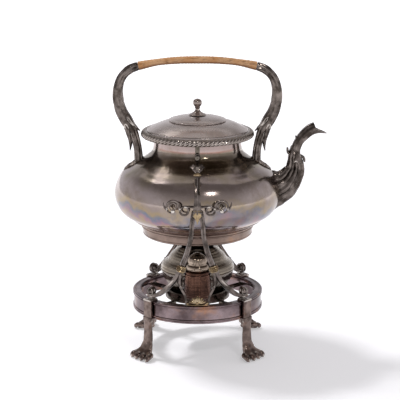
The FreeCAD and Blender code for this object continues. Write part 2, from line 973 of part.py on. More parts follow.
def make_base_ring():
    top = ring_bottom + ring_height
    outer = ring_radius
    band = outer - ring_lip_out
    wall = ring_wall
    return turned_polygon(
        [
            (outer, ring_bottom),
            (outer, ring_bottom + ring_lip),
            (band, ring_bottom + ring_lip + 1.0),
            (band, top - ring_lip - 1.0),
            (outer, top - ring_lip),
            (outer, top - 0.6),
            (outer - 0.6, top),
            (ring_opening + 0.6, top),
            (ring_opening, top - 0.6),
            (ring_opening, top - 6.0),
            (ring_opening + wall, top - 6.0),
            (ring_opening + wall, top - wall),
            (band - wall, top - wall),
            (band - wall, ring_bottom),
        ]
    )


def screw_hole(radius, end):
    """The radial hole for one leg screw on the +X axis, from inside the ring out to end."""
    start = ring_opening
    return Part.makeCylinder(radius, end - start, vec(start, 0, screw_level), vec(1, 0, 0))


def make_leg():
    """A leg on the +X axis: tab, strap, curved shin and paw."""
    top = ring_bottom + ring_height
    strap_in = ring_radius - 0.4
    middle = strap_in + leg_strap / 2
    side = vec(0, 1, 0)
    half = leg_width / 2
    strap = box(strap_in, strap_in + leg_strap, -half, half, ring_bottom - 2.0, top + leg_tab)
    tab = box(ring_opening + 2.0, strap_in + leg_strap, -half, half, top, top + leg_tab)
    steps = []
    for proud, low in ((0.9, ring_bottom - 1.0), (0.5, ring_bottom + 1.0)):
        front = strap_in + leg_strap + 1.6 * proud
        steps.append(box(strap_in, front, -half - proud, half + proud, low, low + 2.0))
    toe_out = ring_radius + paw_reach
    toe_row = toe_spacing * (toe_count - 1) + toe_radius
    shin = bar(
        [
            vec(middle, 0, ring_bottom),
            vec(middle - 0.2, 0, ring_bottom * 0.7),
            vec(middle + 0.4, 0, ring_bottom * 0.42),
            vec(middle + 4.0, 0, ring_bottom * 0.22),
            vec(toe_out - 3.6, 0, toe_radius + 0.8),
        ],
        side,
        [leg_width, shin_width, shin_width, shin_width + 4.0, toe_row],
        [leg_strap, shin_thick, shin_thick + 0.4, shin_thick + 2.0, toe_radius * 1.5],
        oblong,
        12,
    )
    back = middle - 1.6
    heel_half = half - 0.6
    heel = Part.Face(
        Part.makePolygon(
            [
                vec(back, -heel_half, 0),
                vec(back, -heel_half, ring_bottom * 0.3),
                vec(middle + 4.0, -heel_half, ring_bottom * 0.2),
                vec(toe_out - 3.0, -heel_half, toe_radius + 1.2),
                vec(toe_out - 3.0, -heel_half, 0),
                vec(back, -heel_half, 0),
            ]
        )
    ).extrude(vec(0, 2 * heel_half, 0))
    sole_corners = [
        vec(back, -heel_half, 0),
        vec(toe_out - 7.0, -toe_row * 0.42, 0),
        vec(toe_out - 2.0, -toe_row / 2, 0),
        vec(toe_out - 2.0, toe_row / 2, 0),
        vec(toe_out - 7.0, toe_row * 0.42, 0),
        vec(back, heel_half, 0),
    ]
    sole = Part.Face(Part.makePolygon(sole_corners + sole_corners[:1])).extrude(vec(0, 0, toe_radius))
    toes = []
    for i in range(toe_count):
        place = toe_spacing * (i - (toe_count - 1) / 2)
        tip = vec(toe_out - 0.008 * place * place, place, toe_radius * 0.92)
        root = vec(toe_out - 11.0, place * 0.6, toe_radius + 2.2)
        toe = tip - root
        toes.append(Part.makeCylinder(toe_radius * 0.9, toe.Length, root, toe))
        toes.append(ball(toe_radius, tip.x, tip.y, tip.z))
    leg = joined([strap, tab, shin, heel, sole] + steps + toes)
    leg = leg.cut(cylinder(ring_radius, ring_bottom - 5, top)).cut(box(0, 200, -50, 50, -20, 0))
    return one(leg.cut(screw_hole(screw_radius, strap_in + leg_strap - screw_end)))


def ring_inside():
    """The radius of the inside of the base ring's wall, which the cradle's tabs lie on."""
    return ring_radius - ring_lip_out - ring_wall


def make_screw():
    seat = ring_inside() - cradle_plate
    end = ring_radius - 0.4 + leg_strap - screw_end
    outward = vec(1, 0, 0)
    head = Part.makeCylinder(
        screw_head, screw_head_height, vec(seat - screw_head_height, 0, screw_level), outward
    )
    shank = Part.makeCylinder(screw_radius, end - seat, vec(seat, 0, screw_level), outward)
    return joined([head, shank])


def make_cradle(screw_holes):
    ring = turned_polygon(
        [
            (cradle_radius, cradle_bottom),
            (cradle_radius, cradle_bottom + cradle_height),
            (cradle_bore, cradle_bottom + cradle_height),
            (cradle_bore, cradle_bottom + cradle_plate),
            (cradle_ledge, cradle_bottom + cradle_plate),
            (cradle_ledge, cradle_bottom),
        ]
    )
    band = ring_inside()
    half = cradle_arm / 2
    low = cradle_bottom - cradle_arm_thick
    start = cradle_radius - 1.0
    arm = box(start, band - 0.3, -half, half, low, cradle_bottom)
    root = box(start, cradle_radius + 2.0, -half, half, low, cradle_bottom + 4.0)
    tab = box(band - cradle_plate, band + 1.0, -half, half, low, screw_level + screw_head + 0.4)
    arm = joined([arm, root, tab.common(cylinder(band, 0, screw_level * 2))])
    arms = [spun(arm, a) for a in leg_azimuths()]
    cradle = joined([ring] + arms)
    for hole in screw_holes:
        cradle = cradle.cut(hole)
    return one(cradle)


def leg_azimuths():
    return [leg_azimuth, 180 - leg_azimuth, 180 + leg_azimuth, 360 - leg_azimuth]


def make_burner():
    """The burner's pieces, as names and solids. The filler stands in front of the shroud."""
    foot_level = cradle_bottom + cradle_plate
    lip = burner_lip
    bowl_line = [
        (burner_radius, lip),
        (burner_radius - 1.4, lip - 3.5),
        (burner_radius - 2.4, lip - 7.5),
        (burner_radius - 3.8, lip - 11.5),
        (burner_radius - 6.2, lip - 15.5),
        (burner_radius - 9.4, lip - 19.5),
        (burner_foot - 0.6, lip - 23.5),
        (burner_foot - 1.6, foot_level + 8.0),
        (burner_foot, foot_level),
    ]
    bowl = shell(bowl_line, burner_wall)
    floor_level = foot_level + 5.0
    floor = cylinder(burner_foot - 1.4, floor_level, floor_level + burner_wall)
    bowl = joined([bowl, floor]).cut(cylinder(burner_radius, 0, foot_level))
    bowl = bowl.cut(cylinder(burner_radius + 1.0, lip, lip + 3.0))
    shroud_line = [
        (shroud_mouth, shroud_top),
        (shroud_mouth + 4.6, shroud_top - 1.6),
        (shroud_mouth + 9.2, shroud_top - 5.4),
        (shroud_mouth + 14.6, shroud_top - 10.4),
        (shroud_mouth + 18.2, shroud_top - 16.4),
        (burner_radius - 2.6, deck_level + 2.4),
        (burner_radius, lip + 2.6),
        (burner_radius, lip),
    ]
    shroud = shell(shroud_line, burner_wall)
    seat = cradle_bottom + cradle_height
    barrel = make_barrel(seat)
    thread = cylinder(filler_thread, filler_level, filler_level + thread_height, 0, -filler_place)
    above = cylinder(cap_radius + 0.9, filler_level - 2.0, shroud_top, 0, -filler_place)
    clear = joined([barrel, above])
    side = filler_radius - filler_bulge - filler_wall
    wide = cylinder(side, seat + filler_wall, filler_level - 5.0, 0, -filler_place)
    narrow = cylinder(
        filler_thread - filler_wall, seat + filler_wall, filler_level + thread_height + 1.0, 0, -filler_place
    )
    filler = joined([barrel, thread]).cut(wide).cut(narrow)
    passage = cylinder(wick_radius, 0, shroud_top)
    sleeve = cylinder(wick_radius + wick_wall, foot_level + 8.0, wick_top - 3.0)
    deck = cylinder(burner_radius, deck_level - burner_wall, deck_level).common(shroud_inside(shroud_line))
    deck = deck.cut(cylinder(wick_radius + wick_wall, 0, shroud_top)).cut(clear)
    tube = sleeve.cut(passage)
    wick = cylinder(wick_radius, foot_level + 8.0, wick_top)
    return {
        "burner_bowl": one(bowl.cut(clear)),
        "burner_shroud": one(shroud.cut(clear)),
        "reservoir_deck": one(deck),
        "wick_tube": one(tube),
        "wick": wick,
        "filler_neck": one(filler),
        "filler_cap": make_cap(),
    }


def make_barrel(seat):
    """The filler's body, filled: a slightly bulging drum with a rounded edge under the cap."""
    waist = filler_radius - filler_bulge
    edge = filler_level - 3.4
    barrel = turned(
        [
            straight((0.0, seat), (waist, seat)),
            arc((waist, seat), (filler_radius, (seat + edge) / 2), (waist, edge)),
            straight((waist, edge), (waist - 1.0, edge + 0.8)),
            arc((waist - 1.0, edge + 0.8), (waist - 0.5, edge + 2.0), (waist - 1.4, filler_level)),
            straight((waist - 1.4, filler_level), (0.0, filler_level)),
            straight((0.0, filler_level), (0.0, seat)),
        ]
    )
    barrel.translate(vec(0, -filler_place, 0))
    return barrel


def shroud_inside(line):
    """All that lies inside the shroud's wall."""
    inner = offset(line, burner_wall)
    top, bottom = inner[0], inner[-1]
    return turned(
        [
            curve(flat(inner)),
            straight(bottom, (0.0, bottom[1])),
            straight((0.0, bottom[1]), (0.0, top[1])),
            straight((0.0, top[1]), top),
        ]
    )


def make_cap():
    """The domed cap that screws on the filler."""
    low = filler_level + cap_clearance
    top = filler_level + cap_height
    bore = filler_thread + cap_clearance
    band = low + cap_band
    half_band = low + cap_band / 2
    crown = top - 3.4
    roof = low + thread_height + 2.0
    cap = turned(
        [
            straight((bore, low), (cap_radius - 1.6, low)),
            arc((cap_radius - 1.6, low), (cap_radius, half_band), (cap_radius - 1.6, band)),
            straight((cap_radius - 1.6, band), (cap_dome - 0.6, band + 0.8)),
            arc((cap_dome - 0.6, band + 0.8), (cap_dome - 0.2, band + 4.0), (cap_dome - 4.6, crown)),
            curve(flat([(cap_dome - 4.6, crown), (cap_dome - 8.6, top - 1.0), (0.0, top)])),
            straight((0.0, top), (0.0, roof)),
            straight((0.0, roof), (bore, roof)),
            straight((bore, roof), (bore, low)),
        ]
    )
    cap.translate(vec(0, -filler_place, 0))
    return cap


def build():
    """All the nodes, each a list of solids."""
    filled = kettle_filled()
    core, sleeve = make_grip()
    pad = make_foot_leaf(filled)
    arm = make_arm(filled, pad, core)
    right_arm = mirrored_x(arm)
    sleeve = one(sleeve.cut(arm).cut(right_arm))
    rim = make_rim(filled)
    trunnion = make_trunnion(filled, rim)
    nut = make_pin_nut()
    lower, upper, neck = make_kettle_shells()
    nodes = {
        "kettle_belly": [lower],
        "kettle_shoulder": [upper],
        "kettle_neck": [neck],
        "kettle_bottom": [make_kettle_bottom()],
        "kettle_foot_ring": [make_foot_ring(filled)],
        "gadroon_rim": [rim],
        "spout": [make_spout(filled, mirrored_x(pad))],
        "handle_arm_left": [arm],
        "handle_arm_right": [right_arm],
        "handle_foot_left": [pad],
        "handle_foot_right": [mirrored_x(pad)],
        "handle_grip_core": [core],
        "handle_grip_wicker": [sleeve],
        "trunnion_front": [trunnion],
        "trunnion_rear": [mirrored_y(trunnion)],
        "trunnion_nuts": [nut, mirrored_y(nut)],
    }
    for name, solid in make_lid().items():
        nodes[name] = [solid]
    holes = [spun(screw_hole(screw_radius, ring_radius + leg_strap), a) for a in leg_azimuths()]
    ring = make_base_ring()
    for hole in holes:
        ring = ring.cut(hole)
    nodes["base_ring"] = [one(ring)]
    leg = make_leg()
    corners = ["rear_right", "rear_left", "front_left", "front_right"]
    for corner, azimuth in zip(corners, leg_azimuths()):
        nodes["leg_" + corner] = [spun(leg, azimuth)]
    nodes["leg_screws"] = [spun(make_screw(), a) for a in leg_azimuths()]
    nodes["burner_cradle"] = [make_cradle(holes)]
    yoke = make_yoke()
    scroll_leg = make_scroll_leg()
    branch = make_lyre(scroll_leg)
    collar = make_collar(yoke, scroll_leg, branch)
    bracket = make_bracket(yoke)
    knop = make_knop(yoke)
    front = {
        "hanger": [make_hanger(knop)],
        "knop": [knop],
        "yoke": [yoke],
        "collars": [collar, mirrored_x(collar)],
        "lyre": [branch, mirrored_x(branch)],
        "shell": [make_shell_ornament(branch)],
        "brackets": [bracket, mirrored_x(bracket)],
    }
    for name, solids in front.items():
        nodes[name + "_front"] = solids
        nodes[name + "_rear"] = [mirrored_y(s) for s in solids]
    left = mirrored_x(scroll_leg)
    nodes["scroll_leg_front_right"] = [scroll_leg]
    nodes["scroll_leg_front_left"] = [left]
    nodes["scroll_leg_rear_right"] = [mirrored_y(scroll_leg)]
    nodes["scroll_leg_rear_left"] = [mirrored_y(left)]
    for name, solid in make_burner().items():
        nodes[name] = [solid]
    return nodes


def main():
    os.makedirs("parts", exist_ok=True)
    for name, solids in build().items():
        shape = solids[0] if len(solids) == 1 else Part.makeCompound(solids)
        for solid in solids:
            if not solid.isValid():
                print(name, "is not valid")
        shape.exportStep("parts/" + name + ".step")
        print(name, len(solids), round(sum(s.Volume for s in solids)))


main()
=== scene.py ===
import math

import bpy
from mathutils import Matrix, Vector


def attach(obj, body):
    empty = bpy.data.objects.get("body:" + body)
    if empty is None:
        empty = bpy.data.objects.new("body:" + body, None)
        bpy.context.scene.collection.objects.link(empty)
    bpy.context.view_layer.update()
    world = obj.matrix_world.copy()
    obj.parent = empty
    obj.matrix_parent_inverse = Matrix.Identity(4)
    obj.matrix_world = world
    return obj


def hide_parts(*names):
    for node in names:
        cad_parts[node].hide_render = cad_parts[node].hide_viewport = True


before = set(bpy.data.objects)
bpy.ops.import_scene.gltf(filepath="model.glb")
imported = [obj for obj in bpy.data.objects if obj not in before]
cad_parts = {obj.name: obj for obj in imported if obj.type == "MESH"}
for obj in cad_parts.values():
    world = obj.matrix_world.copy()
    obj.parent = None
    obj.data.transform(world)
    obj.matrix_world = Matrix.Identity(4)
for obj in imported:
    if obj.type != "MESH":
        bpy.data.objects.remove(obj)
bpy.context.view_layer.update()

# Lengths in the dictionaries are millimetres. The floor is at height 0 and the spout points along +X.
mm = 0.001


# Small helpers for picking and moving things

def deselectAll():
    bpy.ops.object.select_all(action="DESELECT")


def pick(obj):
    deselectAll()
    obj.select_set(True)
    bpy.context.view_layer.objects.active = obj


def started(name):
    obj = bpy.context.object
    obj.name = name
    obj.data.name = name
    return obj


def openMesh(obj, kind="VERT"):
    pick(obj)
    bpy.ops.object.mode_set(mode="EDIT")
    bpy.ops.mesh.select_mode(type=kind)


def closeMesh():
    bpy.ops.object.mode_set(mode="OBJECT")


def cleanMesh(obj, gap=0.004):
    openMesh(obj)
    bpy.ops.mesh.select_all(action="SELECT")
    bpy.ops.mesh.remove_doubles(threshold=gap * mm)
    bpy.ops.mesh.normals_make_consistent(inside=False)
    closeMesh()


def moveVerts(obj, rule):
    for v in obj.data.vertices:
        v.co = rule(v.co.copy())
    obj.data.update()


def applyModifier(obj, kind, **settings):
    pick(obj)
    mod = obj.modifiers.new(kind.lower(), kind)
    for key, value in settings.items():
        setattr(mod, key, value)
    bpy.ops.object.modifier_apply(modifier=mod.name)


def copyPiece(obj, name):
    pick(obj)
    bpy.ops.object.duplicate()
    return started(name)


def joinPieces(name, pieces):
    pick(pieces[0])
    for piece in pieces:
        piece.select_set(True)
    bpy.ops.object.join()
    return started(name)


def mirrorPiece(obj, name, axis):
    twin = copyPiece(obj, name)

    def flip(co):
        co[axis] = -co[axis]
        return co

    moveVerts(twin, flip)
    openMesh(twin)
    bpy.ops.mesh.select_all(action="SELECT")
    bpy.ops.mesh.flip_normals()
    closeMesh()
    return twin


def turnPiece(obj, name, degrees):
    twin = copyPiece(obj, name)
    turn = math.radians(degrees)
    c, s = math.cos(turn), math.sin(turn)
    moveVerts(twin, lambda co: Vector((co.x * c - co.y * s, co.x * s + co.y * c, co.z)))
    return twin


# Smooth lines and values

def smoothFine(points, parts=14):
    pts = [Vector(p) for p in points]
    gaps = [max((b - a).length, 1e-6) for a, b in zip(pts, pts[1:])]
    slopes = [(b - a) / g for a, b, g in zip(pts, pts[1:], gaps)]
    heads = [slopes[0]]
    for i in range(1, len(pts) - 1):
        before, after = gaps[i - 1], gaps[i]
        heads.append((slopes[i - 1] * after + slopes[i] * before) / (before + after))
    heads.append(slopes[-1])
    fine = []
    for i, gap in enumerate(gaps):
        for j in range(parts):
            t = j / parts
            fine.append(
                pts[i] * (2 * t ** 3 - 3 * t ** 2 + 1)
                + heads[i] * (gap * (t ** 3 - 2 * t ** 2 + t))
                + pts[i + 1] * (3 * t ** 2 - 2 * t ** 3)
                + heads[i + 1] * (gap * (t ** 3 - t ** 2))
            )
    return fine + [pts[-1]]


def smoothLine(points, count):
    # count + 1 places, evenly spaced along the smooth line through points
    fine = smoothFine(points)
    run = [0.0]
    for a, b in zip(fine, fine[1:]):
        run.append(run[-1] + (b - a).length)
    places = []
    k = 0
    for i in range(count + 1):
        goal = run[-1] * i / count
        while k < len(fine) - 2 and run[k + 1] < goal:
            k += 1
        share = (goal - run[k]) / max(run[k + 1] - run[k], 1e-9)
        places.append(fine[k].lerp(fine[k + 1], min(share, 1.0)))
    return places


def between(values, share):
    place = min(max(share, 0.0), 1.0) * (len(values) - 1)
    low = min(int(place), len(values) - 2)
    part = place - low
    part = part * part * (3 - 2 * part) * 0.5 + part * 0.5
    return values[low] + (values[low + 1] - values[low]) * part


def ease(low, high, value):
    t = min(max((value - low) / (high - low), 0.0), 1.0)
    return t * t * (3 - 2 * t)


# Three ways a piece is made: turned round the axis, cast as a bar along a line, or beaten as a leaf

def turnOutline(name, outline, steps=128, closed=True):
    points = [Vector((r, 0, z)) * mm for r, z in outline]
    if closed:
        points.append(points[0])
    deselectAll()
    bpy.ops.mesh.primitive_plane_add(size=mm)
    obj = started(name)
    openMesh(obj)
    bpy.ops.mesh.select_all(action="SELECT")
    bpy.ops.mesh.merge(type="CENTER")
    bpy.ops.transform.translate(value=points[0])
    for a, b in zip(points, points[1:]):
        bpy.ops.mesh.extrude_region_move(TRANSFORM_OT_translate={"value": b - a})
    bpy.ops.mesh.select_all(action="SELECT")
    bpy.ops.mesh.spin(steps=steps, angle=2 * math.pi, center=(0, 0, 0), axis=(0, 0, 1))
    closeMesh()
    cleanMesh(obj)
    return obj


def castBar(name, line, across, widths, depths, cuts=24, sides=24, corner=2.0, relief=None):
    # corner 2 is an oval section, and more makes it squarer. Width runs along across.
    deselectAll()
    bpy.ops.mesh.primitive_cylinder_add(vertices=sides, radius=0.5, depth=1.0)
    obj = started(name)
    for edge in obj.data.edges:
        a, b = (obj.data.vertices[i].co.z for i in edge.vertices)
        edge.select = abs(a - b) > 0.5
    for face in obj.data.polygons:
        face.select = False
    for vert in obj.data.vertices:
        vert.select = False
    uprights = [e.index for e in obj.data.edges if e.select]
    openMesh(obj, "EDGE")
    bpy.ops.mesh.select_all(action="DESELECT")
    closeMesh()
    for i in uprights:
        obj.data.edges[i].select = True
    openMesh(obj, "EDGE")
    bpy.ops.mesh.subdivide(number_cuts=cuts - 1)
    closeMesh()
    places = smoothLine(line, cuts)
    way = Vector(across).normalized()
    frames = []
    for i, place in enumerate(places):
        heading = (places[min(i + 1, cuts)] - places[max(i - 1, 0)]).normalized()
        side = (way - heading * way.dot(heading)).normalized()
        frames.append((place, side, heading.cross(side)))

    def lay(co):
        at = round((co.z + 0.5) * cuts)
        share = at / cuts
        place, side, up = frames[at]
        turn = math.atan2(co.y, co.x)
        c, s = math.cos(turn), math.sin(turn)
        x = math.copysign(abs(c) ** (2 / corner), c)
        y = math.copysign(abs(s) ** (2 / corner), s)
        spot = side * (x * between(widths, share) / 2) + up * (y * between(depths, share) / 2)
        if relief:
            spot += spot.normalized() * relief(share, turn)
        return (place + spot) * mm

    moveVerts(obj, lay)
    return obj


def beatLeaf(name, rows, columns, half, rise, lay, wall):
    # A leaf from a grid: half(t) is its half width, rise(t, s) its height, and lay puts it in place
    deselectAll()
    bpy.ops.mesh.primitive_grid_add(x_subdivisions=columns, y_subdivisions=rows, size=2.0)
    obj = started(name)

    def shape(co):
        t, s = (co.y + 1) / 2, co.x
        return lay(t, s * half(t), rise(t, s)) * mm

    moveVerts(obj, shape)
    cleanMesh(obj, 0.0005)
    applyModifier(obj, "SOLIDIFY", thickness=wall * mm, offset=-1.0)
    return obj


def roundBead(name, radius, place, squash=(1, 1, 1), segments=16, rings=10):
    deselectAll()
    bpy.ops.mesh.primitive_uv_sphere_add(segments=segments, ring_count=rings, radius=radius * mm)
    obj = started(name)
    spot = Vector(place) * mm
    moveVerts(obj, lambda co: Vector((co.x * squash[0], co.y * squash[1], co.z * squash[2])) + spot)
    return obj


def finishPiece(obj, body, nodes, material, angle=38):
    pick(obj)
    bpy.ops.object.shade_smooth_by_angle(angle=math.radians(angle))
    obj.data.materials.clear()
    obj.data.materials.append(material)
    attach(obj, body)
    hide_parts(*nodes)
    return obj


def arcPoints(x, z, radius, start, sweep, count):
    points = []
    for i in range(count + 1):
        turn = math.radians(start + sweep * i / count)
        points.append((x + radius * math.cos(turn), z + radius * math.sin(turn)))
    return points


print("stage: camera, floor and lights")

camera = {
    "place": (0.00325, -1.91978, 0.66262),
    "pitch": 13.7,
    "lens": 136.8,
}


def addCamera():
    bpy.ops.object.camera_add(
        location=camera["place"], rotation=(math.radians(90 - camera["pitch"]), 0, 0)
    )
    obj = bpy.context.object
    obj.data.lens = camera["lens"]
    obj.data.sensor_width = 36
    obj.data.clip_end = 60
    bpy.context.scene.camera = obj


studio = {
    "floorSize": 40.0,
    "floorColour": (0.82, 0.83, 0.88, 1),
    # The floor glows more and more between these distances from the object, in metres, a painted light that makes it
    # run into a white sweep
    "sweep": (0.7, 3.2),
    "sweepGlow": (0.34, 1.2),
    "horizon": (0.80, 0.79, 0.82, 1),
    "ceiling": (0.23, 0.21, 0.205, 1),
    # The sine of the height at which the walls fade into the dark ceiling
    "fade": (0.10, 0.78),
}

# Cards of light: name, place, what they face, size, watts, colour and whether metal mirrors them
cards = [
    ("keyCard", (-0.88, 0.62, 1.92), (0, 0, 0.2), (0.44, 0.22), 18, (1.0, 0.98, 0.96), False),
    ("gleamCard", (-0.88, 0.62, 1.92), (0, 0, 0.2), (0.38, 0.07), 7, (1.0, 0.98, 0.96), True),
    ("frontCard", (0.60, -1.45, 1.56), (0, 0, 0.2), (0.26, 0.12), 4.5, (1.0, 0.98, 0.96), True),
    ("topCard", (0.1, 1.0, 2.1), (0, 0, 0.2), (2.8, 1.4), 4.5, (1.0, 0.98, 0.98), True),
]


def addCard(name, place, target, size, power, colour, mirrored):
    bpy.ops.object.light_add(type="AREA", location=place)
    obj = bpy.context.object
    obj.name = name
    obj.data.shape = "RECTANGLE"
    obj.data.size = size[0]
    obj.data.size_y = size[1]
    obj.data.energy = power
    obj.data.color = colour
    obj.visible_glossy = mirrored
    look = Vector(target) - Vector(place)
    obj.rotation_euler = look.to_track_quat("-Z", "Y").to_euler()


def addStage():
    deselectAll()
    bpy.ops.mesh.primitive_plane_add(size=studio["floorSize"])
    floor = started("studioFloor")
    mat = bpy.data.materials.new("paleFloor")
    mat.use_nodes = True
    shader = mat.node_tree.nodes["Principled BSDF"]
    shader.inputs["Base Color"].default_value = studio["floorColour"]
    shader.inputs["Roughness"].default_value = 0.9
    shader.inputs["Specular IOR Level"].default_value = 0.1
    tree = mat.node_tree
    far = tree.nodes.new("ShaderNodeVectorMath")
    far.operation = "LENGTH"
    tree.links.new(tree.nodes.new("ShaderNodeTexCoord").outputs["Object"], far.inputs[0])
    # Painted light: the floor's glow grows with its distance from the object
    glow = tree.nodes.new("ShaderNodeMapRange")
    glow.inputs["From Min"].default_value, glow.inputs["From Max"].default_value = studio["sweep"]
    glow.inputs["To Min"].default_value, glow.inputs["To Max"].default_value = studio["sweepGlow"]
    tree.links.new(far.outputs["Value"], glow.inputs["Value"])
    shader.inputs["Emission Color"].default_value = (1, 1, 1, 1)
    tree.links.new(glow.outputs["Result"], shader.inputs["Emission Strength"])
    floor.data.materials.append(mat)
    world = bpy.data.worlds.new("studioWorld")
    world.use_nodes = True
    tree = world.node_tree
    split = tree.nodes.new("ShaderNodeSeparateXYZ")
    tree.links.new(tree.nodes.new("ShaderNodeTexCoord").outputs["Generated"], split.inputs[0])
    fade = tree.nodes.new("ShaderNodeMapRange")
    fade.interpolation_type = "SMOOTHSTEP"
    fade.inputs["From Min"].default_value, fade.inputs["From Max"].default_value = studio["fade"]
    tree.links.new(split.outputs["Z"], fade.inputs["Value"])
    walls = tree.nodes.new("ShaderNodeMix")
    walls.data_type = "RGBA"
    walls.inputs[6].default_value = studio["horizon"]
    walls.inputs[7].default_value = studio["ceiling"]
    tree.links.new(fade.outputs["Result"], walls.inputs[0])
    tree.links.new(walls.outputs[2], tree.nodes["Background"].inputs["Color"])
    bpy.context.scene.world = world
    for card in cards:
        addCard(*card)
    bpy.context.scene.view_settings.view_transform = "Standard"


addCamera()
addStage()


print("stage: finishes")


def addNode(tree, kind, **inputs):
    node = tree.nodes.new(kind)
    for key, value in inputs.items():
        if key in node.inputs:
            node.inputs[key].default_value = value
        else:
            setattr(node, key, value)
    return node


def noiseAt(tree, coords, scale, detail=4.0, rough=0.55):
    node = addNode(tree, "ShaderNodeTexNoise", Scale=scale, Detail=detail, Roughness=rough)
    tree.links.new(coords, node.inputs["Vector"])
    return node.outputs["Fac"]


def spread(tree, value, low, high, newLow=0.0, newHigh=1.0):
    node = addNode(tree, "ShaderNodeMapRange", interpolation_type="SMOOTHSTEP")
    for i, number in enumerate((low, high, newLow, newHigh)):
        node.inputs[i + 1].default_value = number
    tree.links.new(value, node.inputs["Value"])
    return node.outputs["Result"]


def sums(tree, kind, first, second):
    node = addNode(tree, "ShaderNodeMath", operation=kind)
    for socket, value in zip(node.inputs, (first, second)):
        if isinstance(value, bpy.types.NodeSocket):
            tree.links.new(value, socket)
        else:
            socket.default_value = value
    return node.outputs[0]


def blend(tree, share, first, second, kind="MIX"):
    node = addNode(tree, "ShaderNodeMix", data_type="RGBA", blend_type=kind)
    for i, value in ((0, share), (6, first), (7, second)):
        if isinstance(value, bpy.types.NodeSocket):
            tree.links.new(value, node.inputs[i])
        else:
            node.inputs[i].default_value = value
    return node.outputs[2]


def colourBands(tree, value, bands):
    # bands: (place from 0 to 1, colour)
    node = addNode(tree, "ShaderNodeValToRGB")
    ramp = node.color_ramp
    while len(ramp.elements) < len(bands):
        ramp.elements.new(0.5)
    for element, (place, colour) in zip(ramp.elements, bands):
        element.position = place
        element.color = (*colour, 1)
    tree.links.new(value, node.inputs["Fac"])
    return node.outputs["Color"]


def platedMetal(name, look):
    mat = bpy.data.materials.new(name)
    mat.use_nodes = True
    tree = mat.node_tree
    shader = tree.nodes["Principled BSDF"]
    shader.inputs["Metallic"].default_value = 1.0
    coords = addNode(tree, "ShaderNodeTexCoord").outputs["Object"]
    place = addNode(tree, "ShaderNodeSeparateXYZ")
    tree.links.new(coords, place.inputs[0])
    clouds = noiseAt(tree, coords, look.get("clouds", 16), 5.0, 0.6)
    specks = noiseAt(tree, coords, look.get("specks", 140), 6.0, 0.7)
    tone = blend(tree, spread(tree, clouds, 0.36, 0.66), (*look["dull"], 1), (*look["bright"], 1))
    if "bands" in look:
        low, high, bands = look["bands"]
        waver = sums(tree, "MULTIPLY", sums(tree, "SUBTRACT", clouds, 0.5), look["waver"])
        height = sums(tree, "ADD", place.outputs["Z"], waver)
        level = addNode(tree, "ShaderNodeMapRange")
        level.inputs["From Min"].default_value = low * mm
        level.inputs["From Max"].default_value = high * mm
        tree.links.new(height, level.inputs["Value"])
        tinted = colourBands(tree, level.outputs["Result"], bands)
        patch = noiseAt(tree, coords, look.get("patches", 26), 3.0, 0.5)
        tone = blend(tree, spread(tree, patch, 0.30, 0.62, 0.35, 1.0), tone, tinted)
    stain = noiseAt(tree, coords, look.get("stains", 34), 6.0, 0.62)
    tone = blend(tree, spread(tree, stain, 0.52, 0.74, 0.0, look["stained"]), tone, (*look["stain"], 1))
    tone = blend(tree, spread(tree, specks, 0.35, 0.75, 0.0, 0.35), tone, (*look["dull"], 1))
    # Painted shade: the colour darkens in hollows and creases, found by ambient occlusion, and the surface is a little
    # rougher there
    hollow = addNode(tree, "ShaderNodeAmbientOcclusion", samples=8, only_local=True)
    hollow.inputs["Distance"].default_value = look.get("hollow", 4.0) * mm
    paintedHollowShade = spread(tree, hollow.outputs["AO"], 0.12, 0.62, look["paintedHollowShadeAmount"], 0.0)
    tone = blend(tree, paintedHollowShade, tone, (*look["paintedHollowShade"], 1))
    # Painted highlight: sharp edges, found by ambient occlusion from inside, are lightened
    edge = addNode(tree, "ShaderNodeAmbientOcclusion", samples=8, only_local=True, inside=True)
    edge.inputs["Distance"].default_value = look.get("edge", 0.5) * mm
    paintedEdgeHighlight = spread(tree, edge.outputs["AO"], 0.70, 0.42, 0.0, look["paintedEdgeHighlight"])
    tone = blend(tree, paintedEdgeHighlight, tone, (*look["paintedEdgeHighlightColour"], 1))
    tree.links.new(tone, shader.inputs["Base Color"])
    smooth, rough = look["rough"]
    gloss = spread(tree, stain, 0.3, 0.7, smooth, rough)
    gloss = sums(tree, "ADD", gloss, sums(tree, "MULTIPLY", paintedHollowShade, 0.14))
    gloss = sums(tree, "ADD", gloss, spread(tree, specks, 0.5, 0.8, 0.0, 0.05))
    tree.links.new(gloss, shader.inputs["Roughness"])
    grain = noiseAt(tree, coords, look.get("grain", 700), 3.0, 0.6)
    height = sums(tree, "MULTIPLY", grain, 0.25)
    if "lines" in look:
        kind, scale, depth = look["lines"]
        wave = addNode(tree, "ShaderNodeTexWave", Scale=scale, Distortion=0.6, Detail=2.0)
        wave.inputs["Detail Scale"].default_value = 0.4
        wave.wave_type = kind
        if kind == "RINGS":
            wave.rings_direction = "Z"
        else:
            wave.bands_direction = "Z"
        tree.links.new(coords, wave.inputs["Vector"])
        height = sums(tree, "ADD", height, sums(tree, "MULTIPLY", wave.outputs["Fac"], depth))
    dents = noiseAt(tree, coords, look.get("dents", 60), 2.0, 0.5)
    height = sums(tree, "ADD", height, sums(tree, "MULTIPLY", dents, look.get("dented", 2.2)))
    bump = addNode(tree, "ShaderNodeBump")
    bump.inputs["Strength"].default_value = look.get("bump", 0.5)
    bump.inputs["Distance"].default_value = 0.02 * mm
    tree.links.new(height, bump.inputs["Height"])
    tree.links.new(bump.outputs["Normal"], shader.inputs["Normal"])
    return mat


